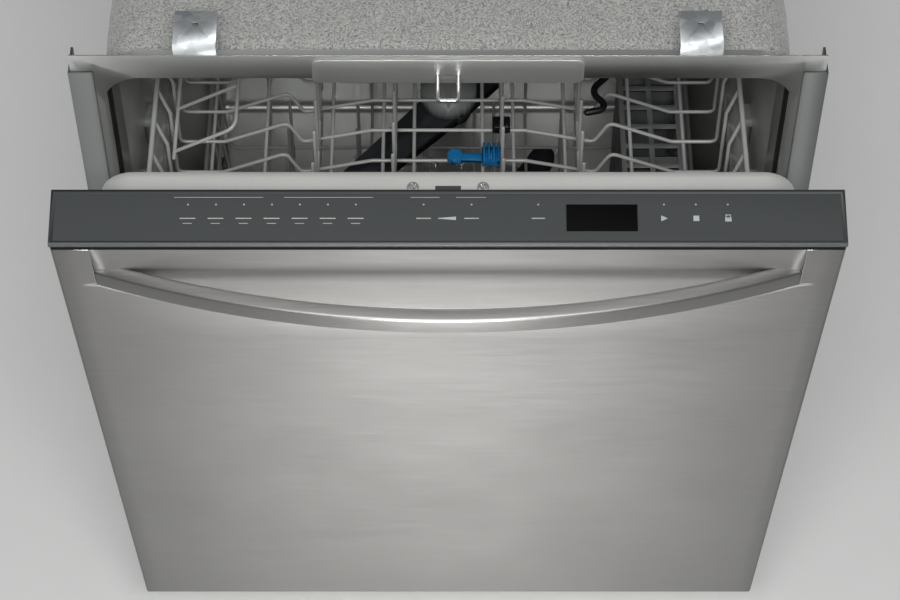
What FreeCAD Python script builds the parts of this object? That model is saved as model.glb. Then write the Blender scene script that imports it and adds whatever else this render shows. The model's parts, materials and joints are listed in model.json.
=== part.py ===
import FreeCAD, Part
import math
import os

from FreeCAD import Base

Vector = Base.Vector

# Built-in dishwasher, millimetres. While it is modelled, x is across, y runs back from the tub's front
# flange, and z is up from the floor. The door is drawn shut and the racks are drawn pushed home, and both
# are then moved to the ajar pose. The finished part is shifted so that its origin is under its centre.

# Cabinet
TUB_INNER_WIDTH = 536.0
TUB_BACK = 545.0
TUB_FLOOR = 165.0
TUB_CEILING = 813.0
TUB_WALL = 1.2
TUB_CORNER = 22.0
MOUTH_GAP = 9.0
MOUTH_DEPTH = 28.0
FLANGE_WIDTH = 600.0
FLANGE_TOP = 848.0
FLANGE_BOTTOM = 136.0
GASKET_THICK = 2.5
GASKET_DEPTH = 9.0
TRIM_FACE = 20.0
TRIM_THICK = 2.0
TRIM_RETURN = 26.0
TRIM_TOP = 830.0
TRIM_OVERHANG = 2.0
STRIKE_PLATE_WIDTH = 216.0
STRIKE_PLATE_DROP = 4.0
STRIKE_PLATE_THICK = 1.6
STRIKE_REACH = 31.0
STRIKE_WIRE = 3.6
STRIKE_WIDTH = 20.0
BRACKET_WIDTH = 34.0
BRACKET_LENGTH = 38.0
BRACKET_THICK = 2.0
BRACKET_HOLE = 5.2
BRACKET_SPACING = 400.0
BRACKET_FOOT = 20.0
MACHINE_TOP = 858.0
BLANKET_THICK = 11.0
BLANKET_BOTTOM = 240.0
SEAT_CLEARANCE = 0.3

# Base
FRAME_HALF_WIDTH = 262.0
FRAME_BACK = 552.0
FRAME_FRONT = 34.0
FRAME_BOTTOM = 42.0
FRAME_SHEET = 2.0
FRAME_FLANGE = 34.0
KICK_WIDTH = 599.0
KICK_GAP = 8.0
KICK_BOTTOM = 14.0
KICK_FACE = 21.0
KICK_SHEET = 1.5
FOOT_PAD = 19.0
FOOT_STEM = 6.0
FOOT_PAD_HEIGHT = 14.0
FOOT_INSET = 17.0
FOOT_CLEARANCE = 0.05

# Door
DOOR_WIDTH = 606.0
PANEL_HEIGHT = 715.0
PANEL_STANDOFF = 35.0
PANEL_SHEET = 1.2
PANEL_EDGE = 3.0
DOOR_DROP = 2.0
PIVOT_Y = -20.0
PIVOT_Z = 120.0
AJAR_ANGLE = 9.15
LINER_PLANE = 10.0
LINER_SHEET = 1.0
PLATEAU_WIDTH = 546.0
PLATEAU_BOTTOM = 45.0
PLATEAU_TOP = 694.0
PLATEAU_RISE = 36.0
PLATEAU_CORNER = 28.0
PLATEAU_EDGE = 9.0
SCOOP_WIDTH = 547.0
SCOOP_BOTTOM = 600.0
SCOOP_DEPTH = 12.0
HANDLE_PROTRUSION = 42.0
HANDLE_TOP = 671.0
HANDLE_HEIGHT = 20.5
HANDLE_THICK = 11.5
HANDLE_ROUND = 4.2
CONSOLE_LIP = 1.0
CONSOLE_FRONT_RISE = 5.0
CONSOLE_BACK_RISE = 9.0
CONSOLE_SHELL = 2.4
CONSOLE_ROUND = 2.2
OVERLAY_BORDER = 3.0
OVERLAY_THICK = 0.8
DISPLAY_LEFT = 90.0
DISPLAY_WIDTH = 54.0
DISPLAY_DEPTH = 22.0
LATCH_SLOT = 24.0
SCREW_SPACING = 54.5
SCREW_HEAD = 4.8
SCREW_SHANK = 2.0
HINGE_PIN = 5.0
HINGE_PIN_CLEARANCE = 0.05
HINGE_X = 277.0
HINGE_SHEET = 3.0
DISPENSER_WIDTH = 210.0
DISPENSER_HEIGHT = 112.0
DISPENSER_BASE = 312.0
DISPENSER_LID = 66.0
RINSE_CAP = 19.0

# Racks
WIRE = 2.1
RIM_WIRE = 2.6
RACK_FRONT = 30.0
RACK_LENGTH = 486.0
UPPER_FLOOR = 575.0
UPPER_RIM = 672.0
UPPER_HALF_FLOOR = 242.0
UPPER_HALF_RIM = 254.0
UPPER_SLIDE_PER_RADIAN = 240.0
LOWER_FLOOR = 207.0
LOWER_RIM = 330.0
LOWER_HALF_FLOOR = 236.0
LOWER_HALF_RIM = 248.0
LOWER_SLIDE_PER_RADIAN = 70.0
LOWER_FRONT = 42.0
CROSS_PITCH = 36.0
TINE_HEIGHT = 70.0
FOLD_ROW_X = 48.0
OUTER_ROW_X = 118.0
WHEEL_RADIUS = 19.0
WHEEL_WIDTH = 9.0
ROLLER_RADIUS = 8.0
RAIL_LEVEL = 618.0
SPRAY_LOWER_REACH = 232.0
SPRAY_MID_REACH = 200.0
SPRAY_CENTRE = 255.0
HUB_RADIUS = 26.0
BASKET_LEFT = 168.0
BASKET_WIDTH = 60.0
BASKET_LENGTH = 236.0
BASKET_BACK = 372.0
BASKET_TOP = 436.0
BASKET_WALL = 1.8

# Inside and under the cabinet
SUMP_HOLE = 88.0
SUMP_DEPTH = 66.0
SUMP_SHEET = 3.0
SUMP_RIM = 12.0
SUMP_TAPER = 2.5
FILTER_RADIUS = 30.0
FILTER_X = 40.0
FILTER_CLEARANCE = 0.3
POST_RADIUS = 12.0
POST_CLEARANCE = 0.06
POST_COLLAR = 3.0
PLATE_THICK = 2.0
ARM_THICK = 12.0
HEATER_RING = 205.0
HEATER_TUBE = 3.2
HEATER_HOLE = 3.9
HEATER_LEG = 14.0
FLOAT_X = -205.0
FLOAT_Y = 66.0
FLOAT_RADIUS = 22.0
FLOAT_HEIGHT = 26.0
FLOAT_STEM = 5.0
FLOAT_LIFT_GAP = 0.5
FEED_HALF = 20.0
FEED_DEPTH = 22.0
FEED_TOP = 566.0
DOCK_HALF = 12.0
DOCK_LENGTH = 16.0
DOCK_HEIGHT = 18.0
ROLLER_STATIONS = (52.0, 128.0)
ROLLER_INNER = 252.0
ROLLER_WIDTH = 7.0
ROLLER_PIN = 3.0
ROLLER_CLEARANCE = 0.05
STATION_PLATE = 26.0
PUMP_RADIUS = 38.0
PUMP_LENGTH = 118.0
PUMP_VOLUTE = 26.0
DRAIN_RADIUS = 25.0
DRAIN_LENGTH = 72.0
SPIGOT_RADIUS = 9.5
SPIGOT_LENGTH = 30.0
SPIGOT_COLLAR = 14.0
SPIGOT_COLLAR_REACH = 5.0
SPIGOT_OFFSET = 34.0
VALVE_THREAD = 13.2
VALVE_THREAD_LENGTH = 16.0
VALVE_Y = 96.0
VALVE_Z = 92.0
VALVE_WIDTH = 74.0
VALVE_LENGTH = 52.0
VALVE_REACH = 55.0

# Inside the door
HANDLE_END_GAP = 0.5
HANDLE_SCREW_INSET = 22.0
HANDLE_SCREW_LENGTH = 6.5
CONSOLE_SOLID = 17.0
OVERLAY_GAP = 0.5
SCREW_LENGTH = 12.0
LATCH_HALF = 36.0
HOOK_PIN = 2.5
HOOK_WIDTH = 10.0
DISPENSER_PROUD = 2.0
DISPENSER_DEPTH = 32.0
DISPENSER_RIM = 4.0
LID_OVERLAP = 3.0
LID_THICK = 3.6
CAP_HEIGHT = 8.0
ARM_HUB = 12.0
ARM_LENGTH = 140.0
BOARD_THICK = 1.6
BOARD_HALF = 190.0

# On the racks
FIRST_CROSS = 22.0
LEAN_HEIGHT = 32.0
FLAT_HALF = 69.0
TROUGH_X = 133.0
RIDGE_X = 146.0
SHOULDER_X = 204.0
TROUGH_DROP = 16.0
RIDGE_RISE = 10.0
WALL_SPLIT = 8.0
END_SPLIT = 12.0
UPPER_LENGTHWISE = (31.0, 59.0, 106.0, 165.0, 215.0)
LOWER_LENGTHWISE = (28.0, 84.0, 140.0, 196.0)
LOWER_TINE_ROWS = (-168.0, -96.0, -24.0, 48.0, 120.0)
LOWER_TINE_HEIGHT = 92.0
FOLD_TINE_HEIGHT = 62.0
WELD_SINK = 0.4
REST_GAP = 0.25
GRIP_Y = 159.0
CLIP_STATIONS = (196.0, 376.0)
SHELF_AXIS_Z = 630.0
SHELF_REACH = 64.0
SHELF_FRONT = 124.0
SHELF_LENGTH = 296.0
SHELF_TILT = 30.0
SHELF_PIN = 9.0
RAIL_SHEET = 1.5
RAIL_GAP = 0.3
DUCT_HALF = 14.0
MID_HUB_Y = 258.0
MID_ARM_ANGLE = 48.0
LOWER_ARM_ANGLE = 62.0
MID_POST = 10.0
WHEEL_STATIONS = (100.0, 270.0, 440.0)
WHEEL_PIN = 4.0
BRACKET_SHEET = 2.0
STOP_LENGTH = 16.0
RIM_BEND = 18.0
FLOOR_BEND = 6.0
CLIP_HEIGHT = 18.0
CLIP_HALF = 20.0
LID_PIN = 1.6
LID_PIN_OUT = 2.4
BASKET_LID_THICK = 3.0
LUG_WIDTH = 5.0
LUG_INSET = 16.0
LUG_NOTCH = 3.0

# Sizes that follow from the ones above
TUB_HALF = TUB_INNER_WIDTH / 2
MOUTH_HALF = TUB_HALF + MOUTH_GAP
MOUTH_TOP = TUB_CEILING + MOUTH_GAP
MOUTH_FLOOR = TUB_FLOOR - MOUTH_GAP
FLANGE_HALF = FLANGE_WIDTH / 2
DOOR_HALF = DOOR_WIDTH / 2
PANEL_TOP = PANEL_HEIGHT - DOOR_DROP
PANEL_FACE_Y = PIVOT_Y - PANEL_STANDOFF
LINER_Y = PIVOT_Y + LINER_PLANE
PLATEAU_Y = LINER_Y + PLATEAU_RISE
PANEL_BOTTOM_Z = PIVOT_Z - DOOR_DROP
PANEL_TOP_Z = PIVOT_Z + PANEL_TOP
FRAME_TOP = TUB_FLOOR - TUB_WALL
KICK_TOP = PIVOT_Z - KICK_GAP
AJAR = math.radians(AJAR_ANGLE)
UPPER_REST = UPPER_SLIDE_PER_RADIAN * AJAR
LOWER_REST = LOWER_SLIDE_PER_RADIAN * AJAR
FILTER_Y = SPRAY_CENTRE - 30.0
FILTER_TOP = TUB_FLOOR + 8.0
LOWER_ARM_BOTTOM = TUB_FLOOR + 18.0
POST_TOP = LOWER_ARM_BOTTOM + ARM_THICK + 3.0
HEATER_LEVEL = TUB_FLOOR + 8.0
HEATER_LEG_END = TUB_FLOOR - 22.0
STRIKE_LEVEL = MOUTH_TOP + 4.0
FOOT_X = FRAME_HALF_WIDTH - FOOT_INSET
FOOT_STATIONS = (FRAME_FRONT + FOOT_INSET + 6, FRAME_BACK - FOOT_INSET - 6)
PUMP_LEVEL = TUB_FLOOR - TUB_WALL - SUMP_DEPTH / 2 - 8
SCOOP_RISE = PANEL_TOP - SCOOP_BOTTOM
SCOOP_RADIUS = (SCOOP_RISE ** 2 + SCOOP_DEPTH ** 2) / (2 * SCOOP_DEPTH)
HANDLE_HALF = SCOOP_WIDTH / 2 - HANDLE_END_GAP
HANDLE_SCREW_X = HANDLE_HALF - HANDLE_SCREW_INSET
HANDLE_RADIUS = (HANDLE_HALF ** 2 + HANDLE_PROTRUSION ** 2) / (2 * HANDLE_PROTRUSION)
HANDLE_MIDDLE_Z = PIVOT_Z + HANDLE_TOP - HANDLE_HEIGHT / 2
CONSOLE_FRONT = PANEL_FACE_Y - CONSOLE_LIP
CONSOLE_SLOPE = (CONSOLE_BACK_RISE - CONSOLE_FRONT_RISE) / (LINER_Y - CONSOLE_FRONT)
DISPLAY_BACK = LINER_Y - 12.5
LINER_FOOT = PIVOT_Z + 16.0
LINER_HALF = DOOR_HALF - PANEL_SHEET - SEAT_CLEARANCE
SCREW_Y = LINER_Y + 18.0
PLATEAU_TOP_Z = PIVOT_Z + PLATEAU_TOP
LATCH_FRONT = LINER_Y - 30.0
LATCH_FLOOR = PLATEAU_TOP_Z - 24.0
HOOK_PIN_Y = LINER_Y - 10.0
HOOK_PIN_Z = STRIKE_LEVEL - 16.0
DISPENSER_CENTRE = PIVOT_Z + DISPENSER_BASE + DISPENSER_HEIGHT / 2
CUP_LEFT = -DISPENSER_WIDTH / 2 + 12
ARM_INNER = HINGE_X + HINGE_SHEET + 1.0
ARM_TOP = PIVOT_Z + ARM_LENGTH
CAP_X = DISPENSER_WIDTH / 2 - RINSE_CAP - 10
RACK_BACK = RACK_FRONT + RACK_LENGTH
LOWER_BACK = RACK_BACK - 4.0
WIRE_CORNER = WIRE / math.cos(math.pi / 6)
WALL_X = UPPER_HALF_FLOOR + 3.0
FOLD_AXIS_Z = UPPER_FLOOR + 2 * WIRE_CORNER + 0.3
SHELF_AXIS_X = WALL_X - 2 * WIRE_CORNER - 0.4
RAIL_WEB = WALL_X + WIRE_CORNER + 0.2
MID_ARM_TOP = FEED_TOP - DOCK_HEIGHT - 3.0
WHEEL_BOTTOM = TUB_FLOOR + 1.2
CLIP_LEAN = (LOWER_HALF_RIM - LOWER_HALF_FLOOR) * CLIP_HEIGHT / (LOWER_RIM - LOWER_FLOOR)
BRACKET_X = LOWER_HALF_FLOOR + CLIP_LEAN + WIRE_CORNER + 0.4
STOP_FRONT = RACK_FRONT - WIRE_CORNER
RAIL_FRONT = STOP_FRONT + STOP_LENGTH
VALVE_X = -FRAME_HALF_WIDTH + FRAME_SHEET
SPIGOT_X = SUMP_HOLE + SPIGOT_OFFSET
SPIGOT_ROOT = SPRAY_CENTRE + DRAIN_RADIUS + SPIGOT_COLLAR_REACH
LID_AXIS_X = BASKET_LEFT + BASKET_WIDTH + LID_PIN_OUT
LID_AXIS_Z = BASKET_TOP + REST_GAP + BASKET_LID_THICK / 2

CHORD_TURN = math.radians(40)

PARTS = {}
DOOR_NODES = []
UPPER_NODES = []
LOWER_NODES = []


def add(name, shape, group=None):
    """Keep one node's finished shape, and note which moving group carries it."""
    PARTS[name] = shape
    if group is not None:
        group.append(name)


def box(x0, x1, y0, y1, z0, z1):
    """A block between two corners."""
    return Part.makeBox(x1 - x0, y1 - y0, z1 - z0, Vector(x0, y0, z0))


def cylinder(radius, start, direction, length):
    """A round bar from a start point."""
    return Part.makeCylinder(radius, length, Vector(*start), Vector(*direction))


def fuse(shapes):
    """One solid from several that overlap or share a face."""
    shapes = list(shapes)
    joined = shapes[0].multiFuse(shapes[1:]) if len(shapes) > 1 else shapes[0]
    return joined.removeSplitter()


def group(shapes):
    """Several separate solids in one node."""
    return Part.makeCompound(list(shapes))


def mirrored(shape):
    """The same piece on the other side of the machine."""
    return shape.mirror(Vector(0, 0, 0), Vector(1, 0, 0))


def prism(points, direction):
    """A flat outline of 3-D points, pushed along a direction."""
    corners = [Vector(*p) for p in points]
    face = Part.Face(Part.makePolygon(corners + corners[:1]))
    return face.extrude(Vector(*direction))


def rounded_block(x0, x1, y0, y1, z0, z1, radius, axis):
    """A block whose four edges along one axis are rounded."""
    block = box(x0, x1, y0, y1, z0, z1)
    along = [edge for edge in block.Edges if is_along(edge, axis)]
    return block.makeFillet(radius, along)


def is_along(edge, axis):
    """Whether a straight edge runs along an axis vector."""
    if not isinstance(edge.Curve, (Part.Line, Part.LineSegment)):
        return False
    direction = edge.Vertexes[-1].Point.sub(edge.Vertexes[0].Point)
    direction.normalize()
    return abs(abs(direction.dot(Vector(*axis))) - 1.0) < 1e-6


def rounded_path(points, radius):
    """The points of a bent wire: each inner corner becomes a tangent arc of a few chords."""
    corners = [Vector(*p) for p in points]
    path = [corners[0]]
    for before, corner, after in zip(corners, corners[1:], corners[2:]):
        back = before.sub(corner)
        ahead = after.sub(corner)
        limit = 0.45 * min(back.Length, ahead.Length)
        back.normalize()
        ahead.normalize()
        turn = math.pi - back.getAngle(ahead)
        if turn < 0.02:
            continue
        setback = min(radius * math.tan(turn / 2), limit)
        arc_radius = setback / math.tan(turn / 2)
        middle = back.add(ahead)
        middle.normalize()
        centre = corner.add(middle.multiply(arc_radius / math.cos(turn / 2)))
        start = corner.add(back.multiply(setback)).sub(centre)
        end = corner.add(ahead.multiply(setback)).sub(centre)
        steps = max(1, round(turn / CHORD_TURN))
        for step in range(steps + 1):
            share = step / steps
            first = math.sin((1 - share) * turn) / math.sin(turn)
            second = math.sin(share * turn) / math.sin(turn)
            path.append(centre.add(Vector(start).multiply(first)).add(Vector(end).multiply(second)))
    path.append(corners[-1])
    return path


def bent_wire(points, radius, bend=9.0, sides=6):
    """A wire of six-sided section along a bent path, mitred at each chord."""
    path = rounded_path(points, bend)
    runs = [b.sub(a).normalize() for a, b in zip(path, path[1:])]
    side = Vector(0, 0, 1) if abs(runs[0].z) < 0.8 else Vector(0, 1, 0)
    across = runs[0].cross(side).normalize()
    upright = across.cross(runs[0]).normalize()
    outer = radius / math.cos(math.pi / sides)
    ring = []
    for index in range(sides):
        angle = 2 * math.pi * (index + 0.5) / sides + math.pi / 2
        offset = Vector(across).multiply(outer * math.cos(angle))
        ring.append(path[0].add(offset).add(Vector(upright).multiply(outer * math.sin(angle))))
    faces = [Part.Face(Part.makePolygon(ring + ring[:1]))]
    for index, run in enumerate(runs):
        end = path[index + 1]
        normal = Vector(run)
        if index + 1 < len(runs):
            normal = run.add(runs[index + 1])
        reach = run.dot(normal)
        moved = [p.add(Vector(run).multiply(end.sub(p).dot(normal) / reach)) for p in ring]
        for k in range(sides):
            n = (k + 1) % sides
            faces.append(Part.Face(Part.makePolygon([ring[k], ring[n], moved[n], moved[k], ring[k]])))
        ring = moved
    faces.append(Part.Face(Part.makePolygon(ring + ring[:1])))
    solid = Part.Solid(Part.Shell(faces))
    if solid.Volume < 0:
        solid.reverse()
    return solid


# Cabinet pieces


def sheet_shell(half, front, back, floor, ceiling, corner):
    """A block with its long edges rounded, for the tub's inside and outside."""
    return rounded_block(-half, half, front, back, floor, ceiling, corner, (0, 1, 0))


def make_tub():
    w = TUB_WALL
    skin = sheet_shell(TUB_HALF + w, MOUTH_DEPTH, TUB_BACK + w, TUB_FLOOR - w, TUB_CEILING + w,
                       TUB_CORNER + w)
    mouth_corner = TUB_CORNER + MOUTH_GAP
    mouth = sheet_shell(MOUTH_HALF + w, 0, MOUTH_DEPTH + w, MOUTH_FLOOR - w, MOUTH_TOP + w, mouth_corner + w)
    flange = box(-FLANGE_HALF, FLANGE_HALF, 0, w, FLANGE_BOTTOM, FLANGE_TOP)
    inside = sheet_shell(TUB_HALF, MOUTH_DEPTH - w, TUB_BACK, TUB_FLOOR, TUB_CEILING, TUB_CORNER)
    back_edges = [e for e in inside.Edges if all(abs(v.Y - TUB_BACK) < 1e-6 for v in e.Vertexes)]
    inside = inside.makeFillet(TUB_CORNER / 2, back_edges)
    throat = sheet_shell(MOUTH_HALF, -w, MOUTH_DEPTH, MOUTH_FLOOR, MOUTH_TOP, mouth_corner)
    tub = fuse([skin, mouth, flange]).cut(fuse([inside, throat]))
    holes = [cylinder(SUMP_HOLE, (0, SPRAY_CENTRE, TUB_FLOOR - 2 * w), (0, 0, 1), 4 * w)]
    holes.append(cylinder(FLOAT_STEM + FLOAT_LIFT_GAP, (FLOAT_X, FLOAT_Y, TUB_FLOOR - 2 * w), (0, 0, 1), 4 * w))
    for side in (-1, 1):
        leg = (side * HEATER_LEG, SPRAY_CENTRE + HEATER_RING, TUB_FLOOR - 2 * w)
        holes.append(cylinder(HEATER_HOLE, leg, (0, 0, 1), 4 * w))
    return tub.cut(group(holes))


def make_gasket():
    """A thin seal round the mouth's sides and top, just in front of its lip."""
    corner = TUB_CORNER + MOUTH_GAP
    front = MOUTH_DEPTH - GASKET_DEPTH
    t = GASKET_THICK
    outer = sheet_shell(MOUTH_HALF, front, MOUTH_DEPTH, MOUTH_FLOOR, MOUTH_TOP, corner)
    inner = sheet_shell(MOUTH_HALF - t, front - 1, MOUTH_DEPTH + 1, MOUTH_FLOOR - t, MOUTH_TOP - t, corner - t)
    below = box(-MOUTH_HALF - 1, MOUTH_HALF + 1, front - 1, MOUTH_DEPTH + 1, 0, MOUTH_FLOOR + corner)
    return outer.cut(inner).cut(below)


def make_side_trims():
    """Grey strips that finish the cabinet's front edges, each with a return along the side."""
    inner = FLANGE_HALF + TRIM_OVERHANG - TRIM_FACE
    outer = FLANGE_HALF + TRIM_OVERHANG
    face = box(inner, outer, -TRIM_THICK, 0, FLANGE_BOTTOM, TRIM_TOP)
    lip = box(inner, inner + TRIM_THICK, -2 * TRIM_THICK, -TRIM_THICK, FLANGE_BOTTOM, TRIM_TOP)
    back = box(FLANGE_HALF, outer, 0, TRIM_RETURN, FLANGE_BOTTOM, TRIM_TOP)
    trim = fuse([face, lip, back])
    return group([trim, mirrored(trim)])


def make_strike_plate():
    """The pressed plate that carries the strike, hanging a little below the mouth's top edge."""
    half = STRIKE_PLATE_WIDTH / 2
    low = MOUTH_TOP - STRIKE_PLATE_DROP
    plate = rounded_block(-half, half, -STRIKE_PLATE_THICK, 0, low, FLANGE_TOP - 4, 6.0, (0, 1, 0))
    hole = STRIKE_WIRE / 2 + 0.1
    for side in (-1, 1):
        leg = (side * (STRIKE_WIDTH - STRIKE_WIRE) / 2, -STRIKE_PLATE_THICK - 1, STRIKE_LEVEL)
        plate = plate.cut(cylinder(hole, leg, (0, 1, 0), STRIKE_PLATE_THICK + 2))
    return plate


def make_strike():
    """The bent wire loop that the latch hook catches."""
    r = STRIKE_WIRE / 2
    x = (STRIKE_WIDTH - STRIKE_WIRE) / 2
    centre = -STRIKE_REACH + STRIKE_WIRE + 3.0
    legs = [cylinder(r, (s * x, centre, STRIKE_LEVEL), (0, 1, 0), -centre) for s in (-1, 1)]
    bend = 3.0
    bar = cylinder(r, (-x + bend, centre - bend, STRIKE_LEVEL), (1, 0, 0), 2 * (x - bend))
    pieces = legs + [bar]
    for side in (-1, 1):
        ring = Part.makeTorus(bend, r, Vector(side * (x - bend), centre, STRIKE_LEVEL), Vector(0, 0, 1))
        x0 = min(side * (x - bend), side * (x + r))
        quarter = box(x0, x0 + bend + r, centre - bend - r, centre, STRIKE_LEVEL - 9, STRIKE_LEVEL + 9)
        pieces.append(ring.common(quarter))
    return fuse(pieces)


def make_counter_brackets():
    """Two bent tabs on the flange's top edge, screwed up into the worktop."""
    tabs = []
    half = BRACKET_WIDTH / 2
    for side in (-1, 1):
        x = side * BRACKET_SPACING / 2
        foot = box(x - half, x + half, TUB_WALL, TUB_WALL + BRACKET_THICK, FLANGE_TOP - BRACKET_FOOT, MACHINE_TOP)
        top = box(x - half, x + half, TUB_WALL, TUB_WALL + BRACKET_LENGTH, MACHINE_TOP - BRACKET_THICK,
                  MACHINE_TOP)
        hole_at = (x, TUB_WALL + BRACKET_LENGTH * 0.62, MACHINE_TOP - 2 * BRACKET_THICK)
        tabs.append(fuse([foot, top]).cut(cylinder(BRACKET_HOLE / 2, hole_at, (0, 0, 1), 3 * BRACKET_THICK)))
    return group(tabs)


def make_blanket():
    """The fibre blanket over the tub's top and sides."""
    gap = TUB_WALL + SEAT_CLEARANCE
    t = BLANKET_THICK
    front = MOUTH_DEPTH + TUB_WALL + 3
    back = TUB_BACK - 4
    outer = sheet_shell(TUB_HALF + gap + t, front, back, 0, TUB_CEILING + gap + t, TUB_CORNER + gap + t)
    inner = sheet_shell(TUB_HALF + gap, front - 1, back + 1, -t, TUB_CEILING + gap, TUB_CORNER + gap)
    wide = TUB_HALF + gap + t + 1
    below = box(-wide, wide, front - 1, back + 1, -t, BLANKET_BOTTOM)
    return outer.cut(inner).cut(below)


def make_base_frame():
    """A welded sheet frame: two channels under the tub joined by a front and a rear plate."""
    s = FRAME_SHEET
    x = FRAME_HALF_WIDTH
    web = box(x - s, x, FRAME_FRONT, FRAME_BACK, FRAME_BOTTOM, FRAME_TOP)
    top = box(x - FRAME_FLANGE, x, FRAME_FRONT, FRAME_BACK, FRAME_TOP - s, FRAME_TOP)
    bottom = box(x - FRAME_FLANGE, x, FRAME_FRONT, FRAME_BACK, FRAME_BOTTOM, FRAME_BOTTOM + s)
    side = fuse([web, top, bottom])
    for y in FOOT_STATIONS:
        hole = cylinder(FOOT_STEM + FOOT_CLEARANCE, (FOOT_X, y, FRAME_BOTTOM - s), (0, 0, 1), 3 * s)
        side = side.cut(hole)
    front = box(-x, x, FRAME_FRONT, FRAME_FRONT + s, FRAME_BOTTOM, KICK_TOP)
    rear = box(-x, x, FRAME_BACK - s, FRAME_BACK, FRAME_BOTTOM, FRAME_TOP)
    window = rounded_block(-x + 60, x - 60, FRAME_BACK - 2 * s, FRAME_BACK + s, FRAME_BOTTOM + 24,
                           FRAME_TOP - 24, 12.0, (0, 1, 0))
    return fuse([side, mirrored(side), front, rear.cut(window)])


def make_foot(x, y):
    """A levelling leg: a round pad on a stem that screws into the frame."""
    pad = Part.makeCone(FOOT_PAD, FOOT_PAD * 0.7, FOOT_PAD_HEIGHT, Vector(x, y, 0))
    stem = cylinder(FOOT_STEM, (x, y, FOOT_PAD_HEIGHT / 2), (0, 0, 1), FRAME_BOTTOM + 26)
    nut = prism([(x + 9.5 * math.cos(math.radians(a)), y + 9.5 * math.sin(math.radians(a)), FOOT_PAD_HEIGHT)
                 for a in range(0, 360, 60)], (0, 0, 6))
    return fuse([pad, stem, nut])


def make_kick_plate():
    """The toe panel, with folded top and bottom edges that reach back to the frame."""
    half = KICK_WIDTH / 2
    s = KICK_SHEET
    face = box(-half, half, KICK_FACE, KICK_FACE + s, KICK_BOTTOM, KICK_TOP)
    top = box(-half, half, KICK_FACE, FRAME_FRONT, KICK_TOP - s, KICK_TOP)
    bottom = box(-half, half, KICK_FACE, FRAME_FRONT, KICK_BOTTOM, KICK_BOTTOM + s)
    return fuse([face, top, bottom])


def make_sump():
    """The bowl under the tub's floor that collects the water."""
    s = SUMP_SHEET
    inner = SUMP_HOLE - SUMP_SHEET
    top = TUB_FLOOR - TUB_WALL
    bowl = cylinder(inner + s, (0, SPRAY_CENTRE, top - SUMP_DEPTH), (0, 0, 1), SUMP_DEPTH)
    rim = cylinder(SUMP_HOLE + SUMP_RIM, (0, SPRAY_CENTRE, top - s), (0, 0, 1), s)
    hollow = Part.makeCone(inner - SUMP_TAPER, inner, SUMP_DEPTH - s, Vector(0, SPRAY_CENTRE, top - SUMP_DEPTH + s))
    return fuse([bowl, rim]).cut(hollow)


def make_wash_pump():
    """The circulation pump: a volute against the sump and its motor can with cooling ribs."""
    sump = cylinder(SUMP_HOLE, (0, SPRAY_CENTRE, 0), (0, 0, 1), TUB_FLOOR)
    neck = cylinder(20.0, (-SUMP_HOLE - PUMP_VOLUTE, SPRAY_CENTRE, PUMP_LEVEL), (1, 0, 0), PUMP_VOLUTE + 22)
    volute = cylinder(PUMP_RADIUS * 0.86, (-SUMP_HOLE - PUMP_VOLUTE - 8, SPRAY_CENTRE, PUMP_LEVEL), (1, 0, 0),
                      PUMP_VOLUTE)
    start = -SUMP_HOLE - PUMP_VOLUTE - 8
    can = cylinder(PUMP_RADIUS, (start - PUMP_LENGTH, SPRAY_CENTRE, PUMP_LEVEL), (1, 0, 0), PUMP_LENGTH)
    pump = fuse([neck.cut(sump), volute, can])
    for step in range(4):
        x = start - 26 - 20 * step
        groove = cylinder(PUMP_RADIUS + 1, (x, SPRAY_CENTRE, PUMP_LEVEL), (1, 0, 0), 7)
        core = cylinder(PUMP_RADIUS - 3, (x - 1, SPRAY_CENTRE, PUMP_LEVEL), (1, 0, 0), 9)
        pump = pump.cut(groove.cut(core))
    return pump


def make_drain_pump():
    """The small pump that empties the sump, with the spigot for a drain hose."""
    sump = cylinder(SUMP_HOLE, (0, SPRAY_CENTRE, 0), (0, 0, 1), TUB_FLOOR)
    neck = cylinder(15.0, (SUMP_HOLE - 20, SPRAY_CENTRE, PUMP_LEVEL), (1, 0, 0), 40).cut(sump)
    can = cylinder(DRAIN_RADIUS, (SUMP_HOLE + 14, SPRAY_CENTRE, PUMP_LEVEL), (1, 0, 0), DRAIN_LENGTH)
    collar = cylinder(SPIGOT_COLLAR, (SPIGOT_X, SPRAY_CENTRE, PUMP_LEVEL), (0, 1, 0), SPIGOT_ROOT - SPRAY_CENTRE)
    spigot = cylinder(SPIGOT_RADIUS, (SPIGOT_X, SPRAY_CENTRE, PUMP_LEVEL), (0, 1, 0),
                      SPIGOT_ROOT - SPRAY_CENTRE + SPIGOT_LENGTH)
    return fuse([neck, can, collar, spigot])


def make_inlet_valve():
    """The water inlet valve on the frame's left channel, with a hose thread facing down."""
    x = VALVE_X
    y = VALVE_Y
    body = rounded_block(x, x + VALVE_WIDTH, y, y + VALVE_LENGTH, VALVE_Z, VALVE_Z + 36, 6.0, (1, 0, 0))
    coil = cylinder(14.0, (x + VALVE_WIDTH / 2, y + VALVE_LENGTH, VALVE_Z + 18), (0, 1, 0), 34)
    port = cylinder(VALVE_THREAD, (x + VALVE_REACH, y + VALVE_LENGTH / 2, VALVE_Z - VALVE_THREAD_LENGTH), (0, 0, 1),
                    VALVE_THREAD_LENGTH)
    return fuse([body, coil, port])


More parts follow.
